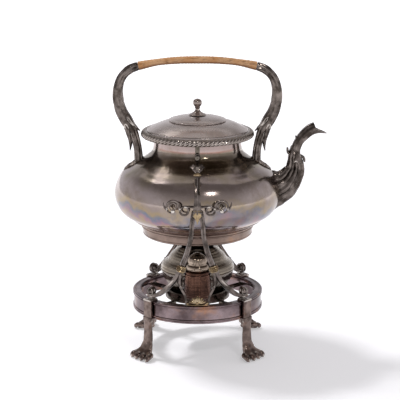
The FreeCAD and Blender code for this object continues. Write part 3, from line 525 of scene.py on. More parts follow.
plateLook = {
    "bright": (0.50, 0.43, 0.41), "dull": (0.30, 0.25, 0.23),
    "stain": (0.20, 0.145, 0.10), "stained": 0.55,
    "paintedHollowShade": (0.030, 0.023, 0.018), "paintedHollowShadeAmount": 0.95,
    "paintedEdgeHighlightColour": (0.70, 0.65, 0.62), "paintedEdgeHighlight": 0.5,
    "rough": (0.09, 0.18),
}

castLook = dict(
    plateLook, bright=(0.235, 0.20, 0.18), dull=(0.055, 0.044, 0.037), paintedHollowShade=(0.008, 0.006, 0.005),
    paintedHollowShadeAmount=1.0, hollow=2.4, paintedEdgeHighlightColour=(0.60, 0.55, 0.50), paintedEdgeHighlight=0.8, rough=(0.12, 0.22), stained=0.7,
    stain=(0.045, 0.033, 0.026), clouds=95, specks=380, stains=130,
)

bodyBands = (160.0, 262.0, [
    (0.00, (0.29, 0.23, 0.265)),
    (0.10, (0.40, 0.235, 0.22)),
    (0.17, (0.42, 0.31, 0.165)),
    (0.23, (0.34, 0.20, 0.25)),
    (0.31, (0.165, 0.19, 0.255)),
    (0.41, (0.34, 0.265, 0.16)),
    (0.52, (0.30, 0.245, 0.215)),
    (0.70, (0.37, 0.31, 0.305)),
    (0.86, (0.30, 0.255, 0.19)),
    (0.95, (0.23, 0.195, 0.14)),
])

# The neck from its flared foot up to the border: the dark flare is painted shade and the light upright band is a
# painted reflection, with a reddish line between
neckReflectionBands = (251.0, 280.0, [
    (0.00, (0.15, 0.125, 0.085)), (0.52, (0.17, 0.14, 0.10)), (0.60, (0.27, 0.15, 0.12)), (0.66, (0.40, 0.31, 0.29)),
    (1.00, (0.36, 0.29, 0.27)),
])

# The knob, from its bright foot to its dark bulb: the bright foot is a painted highlight and the darker bulb is painted
# shade
knobHighlightBands = (307.0, 329.0, [
    (0.00, (0.52, 0.46, 0.43)), (0.20, (0.46, 0.40, 0.37)), (0.32, (0.17, 0.14, 0.115)), (0.62, (0.15, 0.12, 0.10)),
    (0.80, (0.30, 0.25, 0.21)), (1.00, (0.22, 0.18, 0.15)),
])

finishes = {
    "bodyPlate": dict(
        plateLook, bands=bodyBands, waver=0.085, clouds=24, lines=("BANDS", 160, 0.35), dented=0.45, rough=(0.12, 0.20),
    ),
    "lidPlate": dict(
        plateLook, bright=(0.60, 0.54, 0.515), dull=(0.47, 0.41, 0.39), lines=("RINGS", 160, 0.35), rough=(0.20, 0.30),
        dented=1.2, stained=0.35,
    ),
    "rimPlate": dict(plateLook, bright=(0.46, 0.41, 0.38), dull=(0.25, 0.215, 0.19), hollow=2.8, paintedHollowShadeAmount=1.0),
    "neckPlate": dict(plateLook, bands=neckReflectionBands, waver=0.004, dented=1.2, rough=(0.10, 0.18)),
    "castPlate": castLook,
    "framePlate": dict(castLook, bright=(0.25, 0.21, 0.19), dull=(0.065, 0.053, 0.046)),
    "footPlate": dict(
        plateLook, bright=(0.36, 0.27, 0.225), dull=(0.16, 0.115, 0.095), stain=(0.42, 0.19, 0.075), stained=0.85, stains=16,
        lines=("BANDS", 180, 0.4),
    ),
    "knobPlate": dict(plateLook, bands=knobHighlightBands, waver=0.0, patches=4, rough=(0.10, 0.16)),
    "giltBrass": dict(
        plateLook, bright=(0.46, 0.35, 0.21), dull=(0.20, 0.145, 0.085), stain=(0.10, 0.065, 0.035),
        paintedHollowShade=(0.025, 0.017, 0.010), paintedHollowShadeAmount=1.0, hollow=2.0, paintedEdgeHighlightColour=(0.78, 0.66, 0.46), paintedEdgeHighlight=0.6, clouds=90, stains=120,
    ),
    "ringPlate": dict(
        plateLook, bright=(0.36, 0.28, 0.29), dull=(0.095, 0.068, 0.07), stain=(0.46, 0.22, 0.095),
        stained=0.85, clouds=17, stains=21, lines=("BANDS", 130, 0.4), hollow=6.0,
    ),
    "burnerPlate": dict(plateLook, bright=(0.38, 0.33, 0.29), dull=(0.12, 0.10, 0.085), lines=("BANDS", 220, 1.6)),
    "potBrass": dict(
        plateLook, bright=(0.36, 0.19, 0.13), dull=(0.085, 0.045, 0.035), stain=(0.035, 0.022, 0.018),
        lines=("BANDS", 260, 2.0), paintedEdgeHighlightColour=(0.75, 0.56, 0.38), stained=0.9, stains=40,
    ),
    "darkFitting": dict(castLook, bright=(0.20, 0.17, 0.14), dull=(0.09, 0.075, 0.06)),
    "legPlate": dict(castLook, bright=(0.30, 0.23, 0.20), dull=(0.105, 0.077, 0.068), stain=(0.15, 0.075, 0.045)),
    "shroudPlate": dict(plateLook, bright=(0.36, 0.31, 0.25), dull=(0.15, 0.125, 0.10), hollow=1.6),
    "capPlate": dict(plateLook, bright=(0.50, 0.41, 0.33), dull=(0.27, 0.215, 0.17), hollow=1.6, paintedHollowShadeAmount=0.8),
    "padPlate": dict(plateLook, bright=(0.56, 0.50, 0.46), dull=(0.28, 0.24, 0.215), hollow=1.6, clouds=120),
    "budSilver": dict(plateLook, bright=(0.80, 0.76, 0.72), dull=(0.62, 0.57, 0.52), rough=(0.10, 0.18)),
}


def caneMaterial(name, look):
    mat = bpy.data.materials.new(name)
    mat.use_nodes = True
    tree = mat.node_tree
    shader = tree.nodes["Principled BSDF"]
    coords = addNode(tree, "ShaderNodeTexCoord").outputs["Object"]
    stretch = addNode(tree, "ShaderNodeMapping")
    stretch.inputs["Scale"].default_value = look["stretch"]
    tree.links.new(coords, stretch.inputs["Vector"])
    fibres = noiseAt(tree, stretch.outputs["Vector"], look["fibres"], 5.0, 0.6)
    patches = noiseAt(tree, coords, look["patches"], 4.0, 0.6)
    tone = blend(tree, spread(tree, patches, 0.35, 0.65), (*look["honey"], 1), (*look["pale"], 1))
    tone = blend(tree, spread(tree, fibres, 0.48, 0.70, 0.0, 0.8), tone, (*look["brown"], 1))
    # Painted shade: faces turned downward are darkened towards the brown
    facing = addNode(tree, "ShaderNodeSeparateXYZ")
    tree.links.new(addNode(tree, "ShaderNodeNewGeometry").outputs["Normal"], facing.inputs[0])
    tone = blend(tree, spread(tree, facing.outputs["Z"], -0.85, 0.15, look["below"], 0.0), tone, (*look["brown"], 1))
    # Painted shade: darker in the hollows between the strips, found by ambient occlusion
    hollow = addNode(tree, "ShaderNodeAmbientOcclusion", samples=8, only_local=True)
    hollow.inputs["Distance"].default_value = look["hollow"] * mm
    tone = blend(tree, spread(tree, hollow.outputs["AO"], 0.3, 0.9, 0.85, 0.0), tone, (*look["paintedHollowShade"], 1))
    tree.links.new(tone, shader.inputs["Base Color"])
    tree.links.new(spread(tree, patches, 0.3, 0.7, 0.38, 0.55), shader.inputs["Roughness"])
    shader.inputs["Specular IOR Level"].default_value = 0.4
    bump = addNode(tree, "ShaderNodeBump")
    bump.inputs["Strength"].default_value = 0.5
    bump.inputs["Distance"].default_value = 0.06 * mm
    tree.links.new(fibres, bump.inputs["Height"])
    tree.links.new(bump.outputs["Normal"], shader.inputs["Normal"])
    return mat


caneLook = {
    "honey": (0.46, 0.215, 0.075), "pale": (0.56, 0.33, 0.17), "brown": (0.15, 0.062, 0.024), "paintedHollowShade": (0.05, 0.022, 0.010),
    "stretch": (1.0, 5.0, 5.0), "fibres": 110, "patches": 52, "hollow": 1.4, "below": 0.85,
}

cottonLook = {
    "honey": (0.50, 0.44, 0.36), "pale": (0.72, 0.67, 0.58), "brown": (0.25, 0.20, 0.16), "paintedHollowShade": (0.06, 0.05, 0.04),
    "stretch": (5.0, 5.0, 1.0), "fibres": 500, "patches": 160, "hollow": 1.0, "below": 0.0,
}

metals = {name: platedMetal(name, look) for name, look in finishes.items()}
metals["caneStrip"] = caneMaterial("caneStrip", caneLook)
metals["wickCotton"] = caneMaterial("wickCotton", cottonLook)


print("stage: kettle and lid")

kettle = {
    "wall": 1.2,
    "steps": 176,
    "neckSeam": 251.0,
    # The outside from the mouth down to the turned-in base, as (radius, height)
    "outside": [
        (57.0, 287.0), (56.6, 277.0), (56.7, 268.0), (57.5, 263.5), (60.0, 259.5), (64.0, 255.6), (70.0, 251.0),
        (83.5, 242.6), (97.3, 233.0), (104.1, 221.0), (107.3, 207.0), (105.2, 195.0), (98.1, 183.0), (86.6, 174.6),
    ],
    "base": [(84.6, 173.6), (84.0, 173.0), (83.6, 172.4), (78.0, 168.8), (70.0, 164.4), (61.0, 161.0)],
}


def offsetLine(line, distance):
    moved = []
    for i, (r, z) in enumerate(line):
        a = line[max(i - 1, 0)]
        b = line[min(i + 1, len(line) - 1)]
        run = math.hypot(b[0] - a[0], b[1] - a[1])
        moved.append((r + (b[1] - a[1]) / run * distance, z - (b[0] - a[0]) / run * distance))
    return moved


def smoothPairs(points, count):
    return [(p.x, p.y) for p in smoothLine(points, count)]


def kettleLine():
    return smoothPairs(kettle["outside"], 150)


def shoulderHeight(radius):
    # The height of the shoulder's outside where it has this radius, above the widest place
    line = kettleLine()
    for (r0, z0), (r1, z1) in zip(line, line[1:]):
        if r0 <= radius <= r1:
            return z0 + (z1 - z0) * (radius - r0) / (r1 - r0)
    return line[0][1]


def makeKettle():
    line = kettleLine()
    seam = kettle["neckSeam"]
    neck = [point for point in line if point[1] > seam]
    belly = [point for point in line if point[1] < seam] + smoothPairs(kettle["base"], 14)
    shell = turnOutline("kettleShell", belly + offsetLine(belly, kettle["wall"])[::-1], kettle["steps"])
    finishPiece(shell, "kettle", ["kettle_belly", "kettle_shoulder"], metals["bodyPlate"], 50)
    neck.append(belly[0])
    collar = turnOutline("kettleCollar", neck + offsetLine(neck, kettle["wall"])[::-1], kettle["steps"])
    finishPiece(collar, "kettle", ["kettle_neck"], metals["neckPlate"], 50)


footRing = {
    "outline": [
        (83.9, 173.2), (84.2, 172.6), (83.6, 171.9), (82.0, 171.0), (78.6, 169.6), (75.2, 167.6), (73.0, 165.6),
        (72.2, 164.2), (72.3, 163.4), (72.9, 162.9), (73.1, 162.2), (72.8, 161.5), (72.0, 161.1), (71.3, 160.9),
        (71.2, 159.4), (70.9, 156.0), (70.7, 154.6), (71.1, 154.1), (71.2, 153.4), (70.8, 152.6), (70.0, 151.9),
        (69.4, 151.5), (67.4, 151.5), (66.8, 152.0), (66.7, 161.5), (68.6, 164.2), (76.0, 168.0), (82.8, 172.4),
    ],
}


def makeFootRing():
    ring = turnOutline("footRing", footRing["outline"], kettle["steps"])
    finishPiece(ring, "kettle", ["kettle_foot_ring"], metals["footPlate"], 45)


rim = {
    "lobes": 79,
    "perLobe": 8,
    "depth": 1.7,
    "lean": 0.75,
    # The beaded face from the land on top round to the underside
    "face": [
        (66.0, 287.8), (67.4, 288.0), (69.2, 287.7), (70.9, 286.8), (72.2, 285.4), (72.9, 283.8), (72.9, 282.2),
        (72.2, 280.8), (71.0, 279.8),
    ],
    "back": [(70.2, 279.5), (66.0, 279.6), (61.2, 279.5), (57.2, 276.4), (57.1, 286.9), (65.9, 286.9)],
}


def makeRim():
    face = smoothPairs(rim["face"], 14)
    steps = rim["lobes"] * rim["perLobe"]
    border = turnOutline("gadroonRim", face + rim["back"], steps)
    low, high = rim["face"][-1][1], rim["face"][0][1]

    def beads(co):
        r, z = math.hypot(co.x, co.y) / mm, co.z / mm
        if r < 66.0 or z < low + 0.1:
            return co
        down = (high - z) / (high - low)
        turn = math.atan2(co.y, co.x) * rim["lobes"] / (2 * math.pi) + rim["lean"] * down * 2
        swell = abs(math.cos(math.pi * turn)) ** 0.7
        reach = ease(66.0, 67.8, r) * ease(0.0, 1.0, z - low)
        cut = rim["depth"] * (1 - swell) * reach
        return Vector((co.x * (1 - cut / r), co.y * (1 - cut / r), co.z - cut * 0.35 * mm * (0.5 - down)))

    moveVerts(border, beads)
    finishPiece(border, "kettle", ["gadroon_rim"], metals["rimPlate"], 60)


lid = {
    "wall": 1.2,
    "cover": [
        (2.1, 300.7), (18.5, 300.5), (34.0, 299.9), (41.0, 298.7), (51.2, 295.3), (58.5, 291.8), (62.8, 289.6),
    ],
    # A raised line inside the edge, then the thin edge itself
    "edge": [(63.2, 289.7), (63.6, 289.9), (64.1, 289.7), (64.4, 289.2), (64.9, 288.7), (65.2, 288.2), (65.2, 287.0)],
    "dome": [
        (2.2, 307.3), (9.0, 307.0), (14.0, 306.5), (20.4, 305.6), (26.0, 304.6), (29.6, 303.8), (33.0, 302.6),
    ],
    "domeEdge": [
        (33.6, 302.3), (34.1, 302.4), (34.5, 302.2), (34.9, 301.8), (35.6, 301.7), (36.5, 301.5), (36.95, 301.0),
        (36.9, 300.4), (36.6, 299.95),
    ],
    "knobLobes": 10,
    "knob": [
        (11.4, 307.5), (11.2, 307.9), (10.4, 308.5), (7.6, 309.6), (5.2, 311.0), (3.6, 312.7), (2.7, 314.6),
        (2.9, 315.6), (3.5, 316.1), (3.6, 316.7), (3.1, 317.2), (3.6, 318.1), (4.8, 319.6), (5.6, 321.5),
        (5.8, 323.4), (5.4, 325.2), (4.4, 326.6), (3.0, 327.5), (1.8, 328.0), (0.0, 328.2),
    ],
}


def makeLid():
    cover = smoothPairs(lid["cover"], 30) + lid["edge"]
    under = offsetLine(cover[:-1], lid["wall"])
    lidCover = turnOutline("lidCover", cover + [(63.9, 287.0)] + under[::-1], 144)
    finishPiece(lidCover, "lid", ["lid_cover"], metals["lidPlate"], 40)
    crown = smoothPairs(lid["dome"], 18) + lid["domeEdge"]
    inner = offsetLine(crown[:-3], lid["wall"])
    dome = turnOutline("lidDome", crown + [(35.4, 299.95)] + inner[::-1], 128)
    finishPiece(dome, "lid", ["lid_dome"], metals["lidPlate"], 40)
    line = smoothPairs(lid["knob"], 60)
    knob = turnOutline("lidKnob", line + [(0.0, 300.2), (2.0, 300.2), (2.0, 307.5)], lid["knobLobes"] * 10)

    def lobes(co):
        r, z = math.hypot(co.x, co.y) / mm, co.z / mm
        reach = ease(317.4, 319.6, z) * ease(328.2, 326.6, z)
        if r < 0.5 or reach <= 0:
            return co
        dip = 0.34 * reach * (1 - abs(math.cos(lid["knobLobes"] / 2 * math.atan2(co.y, co.x))) ** 0.6)
        return Vector((co.x * (1 - dip / r), co.y * (1 - dip / r), co.z))

    moveVerts(knob, lobes)
    finishPiece(knob, "lid", ["lid_knob"], metals["knobPlate"], 50)


makeKettle()
makeFootRing()
makeRim()
makeLid()


print("stage: spout")

spout = {
    "wall": 1.3,
    "cuts": 150,
    "sides": 72,
    "flutes": 7,
    # Down the middle of the casting from inside the belly to the beak, with its height and width there
    "line": [
        (89.4, 207.5), (101.0, 211.6), (112.9, 217.4), (121.1, 226.6), (125.4, 236.0), (125.8, 246.0), (125.6, 254.4),
        (126.8, 262.5), (131.4, 273.9), (138.2, 281.9), (145.5, 287.7), (154.3, 290.8), (166.9, 290.3),
    ],
    "heights": [56.0, 49.0, 42.4, 34.6, 28.8, 22.2, 16.8, 12.6, 12.8, 14.6, 15.4, 16.0, 15.0],
    "widths": [39.0, 38.0, 36.4, 31.6, 26.8, 22.0, 17.6, 13.8, 13.4, 14.0, 14.2, 14.0, 12.6],
    # The beak's cut: lip, foot of the step, crest, and above
    "cut": [(170.0, 281.0), (165.6, 283.9), (152.6, 289.2), (150.6, 294.2), (147.6, 300.0), (190.0, 320.0), (190.0, 281.0)],
}


def spoutRelief(share, turn):
    # turn is 0 at the side, +90 degrees above and -90 below
    above = math.sin(turn)
    fan = ease(0.56, 0.34, share) * ease(0.03, 0.12, share)
    wave = abs(math.sin(spout["flutes"] * turn + 1.6 * share))
    groove = -2.9 * fan * (1 - wave)
    # The leaf collar ends high on the inside of the bend and low on the outside
    edge = 0.535 + 0.065 * above
    leaf = ease(edge - 0.17, edge - 0.03, share) * ease(edge + 0.008, edge - 0.004, share)
    collar = leaf * (1.2 - 0.8 * (1 - abs(math.sin(3.5 * turn))) ** 1.3)
    upper = ease(edge + 0.03, edge + 0.07, share) * ease(1.0, 0.86, share)
    facets = -0.8 * upper * abs(math.sin(3 * turn)) ** 2
    ridge = 0.5 * ease(0.7, 0.9, share) * max(above, 0) ** 8
    heel = 0.8 * ease(0.02, 0.10, share) * ease(0.30, 0.16, share) * max(-above, 0) ** 3
    return groove + collar + facets + ridge + heel


def curledTip(name, start, end, lift, width, thick, across=(0, 1, 0)):
    # A leaf's tip that leaves the casting and curls over to a blunt point
    a, b = Vector(start), Vector(end)
    middle = (a + b) / 2 + Vector(lift)
    vein = lambda share, turn: -0.3 * (1 - abs(math.sin(2 * turn))) ** 2 * (1 - share)
    return castBar(
        name, [a, middle, b], across, [width, width * 0.9, width * 0.62, width * 0.25],
        [thick, thick * 0.8, thick * 0.75, thick * 0.5], 14, 20, 2.2, vein,
    )


def makeSpout():
    line = [(x, 0, z) for x, z in spout["line"]]
    tube = castBar(
        "spoutCasting", line, (0, 1, 0), spout["widths"], spout["heights"],
        spout["cuts"], spout["sides"], 2.15, spoutRelief,
    )
    ends = [p.index for p in tube.data.polygons if len(p.vertices) > 8]
    openMesh(tube, "FACE")
    bpy.ops.mesh.select_all(action="DESELECT")
    closeMesh()
    for i in ends:
        tube.data.polygons[i].select = True
    openMesh(tube, "FACE")
    bpy.ops.mesh.delete(type="FACE")
    bpy.ops.mesh.select_all(action="SELECT")
    bpy.ops.mesh.normals_make_consistent(inside=False)
    closeMesh()
    applyModifier(tube, "SOLIDIFY", thickness=spout["wall"] * mm, offset=-1.0)
    deselectAll()
    bpy.ops.mesh.primitive_plane_add(size=mm)
    knife = started("beakKnife")
    openMesh(knife)
    bpy.ops.mesh.select_all(action="SELECT")
    bpy.ops.mesh.merge(type="CENTER")
    corners = [Vector((x, -20, z)) * mm for x, z in spout["cut"]]
    bpy.ops.transform.translate(value=corners[0])
    for a, b in zip(corners, corners[1:] + corners[:1]):
        bpy.ops.mesh.extrude_region_move(TRANSFORM_OT_translate={"value": b - a})
    bpy.ops.mesh.select_all(action="SELECT")
    bpy.ops.mesh.remove_doubles(threshold=0.004 * mm)
    bpy.ops.mesh.edge_face_add()
    bpy.ops.mesh.extrude_region_move(TRANSFORM_OT_translate={"value": (0, 40 * mm, 0)})
    bpy.ops.mesh.select_all(action="SELECT")
    bpy.ops.mesh.normals_make_consistent(inside=False)
    closeMesh()
    applyModifier(tube, "BOOLEAN", object=knife, operation="DIFFERENCE", solver="EXACT")
    bpy.data.objects.remove(knife)
    tips = [
        curledTip("tipInner", (121.6, 0, 254.0), (115.8, 0, 264.6), (-1.8, 0, -1.4), 10.0, 4.6),
        curledTip("tipOuter", (131.4, 0, 254.0), (138.4, 0, 245.4), (1.8, 0, 1.8), 10.0, 4.8),
        curledTip("tipUpper", (131.2, 0, 273.4), (126.2, 0, 280.0), (-0.4, 0, -1.6), 7.5, 3.4),
    ]
    for way in (-1, 1):
        tips.append(
            curledTip("tipSide", (129.0, way * 8.4, 247.0), (128.6, way * 12.2, 259.4), (0, way * 0.6, 0), 11.0, 3.4, (1, 0, 0))
        )
    casting = joinPieces("spoutCasting", [tube] + tips)
    finishPiece(casting, "kettle", ["spout"], metals["castPlate"], 42)


makeSpout()


print("stage: handle")

handle = {
    # The left arm from the grip's end down to its pad on the shoulder
    "arm": [
        (-75.0, 370.4), (-86.6, 365.6), (-96.8, 355.0), (-101.2, 341.0), (-101.0, 326.0), (-97.8, 313.0),
        (-90.6, 299.5), (-83.6, 287.5), (-79.4, 276.0), (-76.8, 263.0), (-75.7, 248.0),
    ],
    "thick": [10.4, 10.8, 11.4, 12.2, 13.4, 15.2, 16.0, 13.2, 11.2, 11.2, 12.0],
    "deep": [11.4, 11.4, 12.4, 12.0, 11.4, 11.4],
    "ribs": 6,
    "stages": [0.13, 0.42, 0.70],
    "innerLeaf": [(-93.0, 307.0), (-86.5, 299.0), (-80.0, 292.3), (-75.6, 288.0), (-73.9, 286.6)],
    "outerLeaf": [(-93.0, 306.0), (-89.6, 291.0), (-86.6, 277.0), (-86.0, 268.0), (-87.0, 260.4)],
    "grip": [
        (-75.0, 370.4), (-54.0, 374.6), (-27.0, 377.4), (0.0, 378.0), (27.0, 377.4), (54.0, 374.6), (75.0, 370.4),
    ],
    "gripWidth": 12.6,
    "gripHeights": [11.4, 8.8, 9.4, 9.8, 9.4, 8.8, 11.4],
    "turns": 64,
    "strip": 0.42,
    "pad": (-82.5, 24.6, 16.6),
    "padRise": 4.2,
}


def armRelief(share, turn):
    # turn is +90 degrees on the inside of the bend and -90 on the outside
    ribs = -1.35 * (1 - abs(math.sin(handle["ribs"] * turn / 2 + 2.0 * share))) ** 1.2
    leaf = 0.0
    side = abs(math.cos(turn))
    for stage in handle["stages"]:
        edge = stage + 0.045 * side - 0.02 * abs(math.sin(3 * turn))
        leaf += 1.0 * ease(edge - 0.20, edge, share) * ease(edge + 0.012, edge, share)
    spine = 0.3 * max(-math.sin(turn), 0) ** 10
    ends = ease(0.0, 0.02, share)
    return (ribs + leaf * 0.4 + spine) * ends


def makeArm():
    line = [(x, 0, z) for x, z in handle["arm"]]
    shaft = castBar("armShaft", line, (0, 1, 0), handle["deep"], handle["thick"], 190, 48, 2.3, armRelief)
    vein = lambda share, turn: -1.0 * (1 - abs(math.sin(2.5 * turn))) ** 1.4 * ease(1.0, 0.7, share)
    inner = castBar(
        "armInnerLeaf", [(x, 0, z) for x, z in handle["innerLeaf"]], (0, 1, 0),
        [7.0, 11.2, 10.0, 7.0, 2.6], [6.4, 8.6, 6.6, 4.2, 1.6], 44, 28, 2.2, vein,
    )
    outer = castBar(
        "armOuterLeaf", [(x, 0, z) for x, z in handle["outerLeaf"]], (0, 1, 0),
        [7.0, 11.6, 11.6, 8.4, 2.4], [7.0, 10.6, 8.6, 5.0, 1.4], 50, 28, 2.2, vein,
    )
    return joinPieces("handleArmLeft", [shaft, inner, outer])


def makePad():
    centre, length, width = handle["pad"]

    def half(t):
        bulge = math.sin(math.pi * min(max(t, 0.0), 1.0)) ** 0.55
        notch = 1 - 0.16 * abs(math.sin(5 * math.pi * t)) ** 3
        return max(width / 2 * bulge * notch, 0.05)

    def rise(t, s):
        crown = (1 - abs(s) ** 2.2) * math.sin(math.pi * min(max(t, 0.02), 0.98)) ** 0.4
        veins = 0.42 * math.cos(13 * abs(s) + 24 * t)
        rib = 0.5 * max(1 - abs(s) * 5, 0)
        return handle["padRise"] * (0.25 + 0.62 * crown) + veins * crown + rib * crown

    def lay(t, y, up):
        x = centre + length * (t - 0.5)
        return Vector((x, y, shoulderHeight(min(math.hypot(x, y), 107.0)) + up))

    return beatLeaf("handlePadLeft", 60, 32, half, rise, lay, 2.4)


def makeGrip():
    turns = handle["turns"]

    def strips(share, turn):
        round_ = share * turns - turn / (2 * math.pi)
        return handle["strip"] * (abs(math.sin(math.pi * round_)) ** 0.6 - 1)

    line = [(x, 0, z) for x, z in handle["grip"]]
    grip = castBar(
        "gripCane", line, (0, 1, 0), [handle["gripWidth"]] * 2, handle["gripHeights"], turns * 8, 36, 2.1, strips
    )
    finishPiece(grip, "kettle", ["handle_grip_wicker"], metals["caneStrip"], 70)


def makeHandle():
    left = makeArm()
    right = mirrorPiece(left, "handleArmRight", 0)
    padLeft = makePad()
    padRight = mirrorPiece(padLeft, "handlePadRight", 0)
    finishPiece(left, "kettle", ["handle_arm_left"], metals["castPlate"], 42)
    finishPiece(right, "kettle", ["handle_arm_right"], metals["castPlate"], 42)
    finishPiece(padLeft, "kettle", ["handle_foot_left"], metals["padPlate"], 42)
    finishPiece(padRight, "kettle", ["handle_foot_right"], metals["padPlate"], 42)
    makeGrip()


makeHandle()


print("stage: front and rear frames")

frameSizes = {
    # The column and the right fork leg, from the knop down to the collar
    "column": [(0, -96.1, 247.0), (0, -104.7, 235.0), (0, -110.9, 222.0), (0, -113.1, 209.0), (0, -112.9, 202.0)],
    "columnWidths": [7.6, 7.8, 8.0, 8.8, 10.6, 14.8],
    "fork": [
        (4.2, -112.9, 206.0), (6.8, -111.1, 190.0), (7.6, -108.3, 177.0), (10.2, -102.5, 162.0),
        (14.2, -97.5, 146.0), (20.2, -92.0, 129.5),
    ],
    "forkWidths": [7.0, 6.6, 6.6, 7.0, 7.4, 8.0],
    "collar": (20.2, -92.0, 128.5),
    "collarAxis": (0.32, 0.2, -1.0),
    "eyelet": (0, -65.3, 265.0),
    "scrollWidth": 7.6,
    "scrollThick": 6.4,
    "volute": 88.0,
    "curl": 5.4,
    "legAzimuth": 43.0,
    "volutePlace": 80.0,
    "lyre": [
        (20.6, -92.0, 128.5), (22.0, -88.4, 116.5), (22.4, -85.0, 106.5), (19.4, -82.0, 97.5),
        (16.2, -80.0, 90.5), (14.2, -79.5, 81.6), (13.8, -79.5, 76.2),
    ],
    "shellSeat": (0, -79.5, 76.0),
    "shellHalf": 13.6,
    "shellHeight": 13.6,
    "bracketOut": 112.5,
}


def acrossBar(turn, corner):
    # How far across a bar's width a point of its section lies, from -1 to 1
    c = math.cos(turn)
    return math.copysign(abs(c) ** (2 / corner), c)


def flutedFace(turn, corner, grooves, depth):
    x = acrossBar(turn, corner)
    face = max(math.sin(turn), 0.0) ** 0.3
    return -depth * face * abs(math.sin(math.pi * (grooves * (x + 1) / 2))) ** 1.5 * (abs(x) < 0.96)


def groovedBar(turn, corner, grooves, depth):
    # Grooves along both faces, and one along each edge
    faces = flutedFace(turn, corner, grooves, depth) + flutedFace(-turn, corner, grooves, depth)
    return faces - 0.6 * depth * abs(math.cos(turn)) ** 8


def makeHanger():
    x, y, z = frameSizes["eyelet"]
    deselectAll()
    bpy.ops.mesh.primitive_torus_add(
        major_segments=40, minor_segments=16, major_radius=2.62 * mm, minor_radius=1.06 * mm
    )
    ring = started("eyeletRing")
    moveVerts(ring, lambda co: Vector((co.x, y * mm + co.z * 1.2, z * mm + co.y * (1.0 if co.y < 0 else 1.5))))
    foot = Vector(frameSizes["column"][0])
    way = (foot - Vector(frameSizes["column"][1])).normalized()
    start = foot + way * 4.0
    ribs = lambda share, turn: -0.55 * (1 - abs(math.sin(2.5 * turn))) ** 1.4 * ease(0.0, 0.1, share)
    stem = castBar(
        "hangerStem", [start, start + Vector((0, 8.0, 5.6)), (x, y - 5.0, z - 6.6), (x, y - 0.6, z - 3.2)], (1, 0, 0),
        [5.4, 6.2, 5.2, 4.8, 5.4, 4.2], [4.2, 3.8, 3.2, 2.8, 2.4], 48, 28, 2.4, ribs,
    )
    petals = []
    petalRows = [(3.4, 2.6, 8.4, 6.2, 8.2, 1.0), (6.6, 5.4, 5.8, 9.6, 10.4, 0.8), (1.4, 1.0, 5.6, 2.6, 5.2, 0.8)]
    for out, up, wide, deep, high, scale in petalRows:
        for side in (-1, 1):
            a = start + Vector((0, out, up))
            b = start + Vector((side * wide * 0.62, deep * 0.9, high * 0.74))
            c = start + Vector((side * wide * 0.96, deep - 0.6, high * 0.96))
            d = start + Vector((side * wide * 1.04, deep - 1.6, high * 0.82))
            petals.append(
                castBar(
                    "petal", [a, b, c, d], (0, 0.5, 1), [4.4 * scale, 4.6 * scale, 3.4 * scale, 1.2 * scale],
                    [2.4, 1.7, 1.4, 0.8], 18, 16, 2.2, lambda share, turn: -0.25 * (1 - abs(math.sin(turn))) ** 2,
                )
            )
    return joinPieces("hangerFront", [ring, stem] + petals)


def makeKnop():
    foot = Vector(frameSizes["column"][0])
    way = (foot - Vector(frameSizes["column"][1])).normalized()
    scallops = lambda share, turn: -0.35 * (1 - abs(math.sin(6 * turn))) ** 1.5 * math.sin(math.pi * share)
    band = castBar(
        "knopFront", [foot - way * 0.2, foot + way * 4.2], (1, 0, 0),
        [6.6, 9.2, 10.0, 10.0, 9.2, 6.6], [6.6, 9.2, 10.0, 10.0, 9.2, 6.6], 16, 48, 2.0, scallops,
    )
    return band


def makeYoke():
    corner = 4.0
    flutes = lambda share, turn: groovedBar(turn, corner, 2, 1.3) * ease(0.0, 0.05, share)
    column = castBar(
        "yokeColumn", frameSizes["column"], (-1, 0, 0), frameSizes["columnWidths"], [5.0, 5.0], 70, 44, corner, flutes
    )
    groove = lambda share, turn: groovedBar(turn, corner, 2, 1.2)
    right = castBar(
        "yokeRight", frameSizes["fork"], (-1, 0, 0), frameSizes["forkWidths"], [4.2, 4.2], 90, 36, corner, groove
    )
    left = mirrorPiece(right, "yokeLeft", 0)
    return joinPieces("yokeFront", [column, right, left])


def makeForkLeaf():
    # The gilt leaf where the column parts into its two legs
    lobes = []
    for i in range(-2, 3):
        top = Vector((i * 1.9, -114.6, 207.6 - abs(i) * 1.2))
        low = Vector((i * 0.9, -113.4, 191.5 + abs(i) * 3.2))
        middle = (top + low) / 2 + Vector((i * 0.5, -0.5, 0))
        lobes.append(castBar("forkLobe", [top, middle, low], (1, 0, 0), [1.4, 2.5, 2.2, 1.0], [1.2, 2.0, 1.2], 16, 14))
    lobes.append(castBar("forkBand", [(-5.4, -114.4, 208.4), (5.4, -114.4, 208.4)], (0, 1, 0), [1.2, 1.9, 1.2], [1.2, 1.9, 1.2], 12, 12))
    return joinPieces("forkLeafFront", lobes)


def makeCollar():
    centre = Vector(frameSizes["collar"])
    way = Vector(frameSizes["collarAxis"]).normalized()
    rings = lambda share, turn: -0.7 * math.cos(6 * math.pi * share) ** 2 * ease(0.0, 0.08, share) * ease(1.0, 0.92, share)
    right = castBar(
        "collarRight", [centre - way * 4.2, centre, centre + way * 4.2], (1, 0, 0),
        [9.6, 12.0, 12.4, 12.4, 12.0, 9.6], [6.6, 8.0, 8.4, 8.4, 8.0, 6.6], 40, 40, 2.4, rings,
    )
    return joinPieces("collarsFront", [right, mirrorPiece(right, "collarLeft", 0)])


def scrollHeading():
    turn = math.radians(frameSizes["legAzimuth"])
    x, y, _ = frameSizes["collar"]
    start = Vector((x, y, 0))
    end = Vector((math.cos(turn), -math.sin(turn), 0)) * frameSizes["volutePlace"]
    return start, (end - start).normalized(), (end - start).length


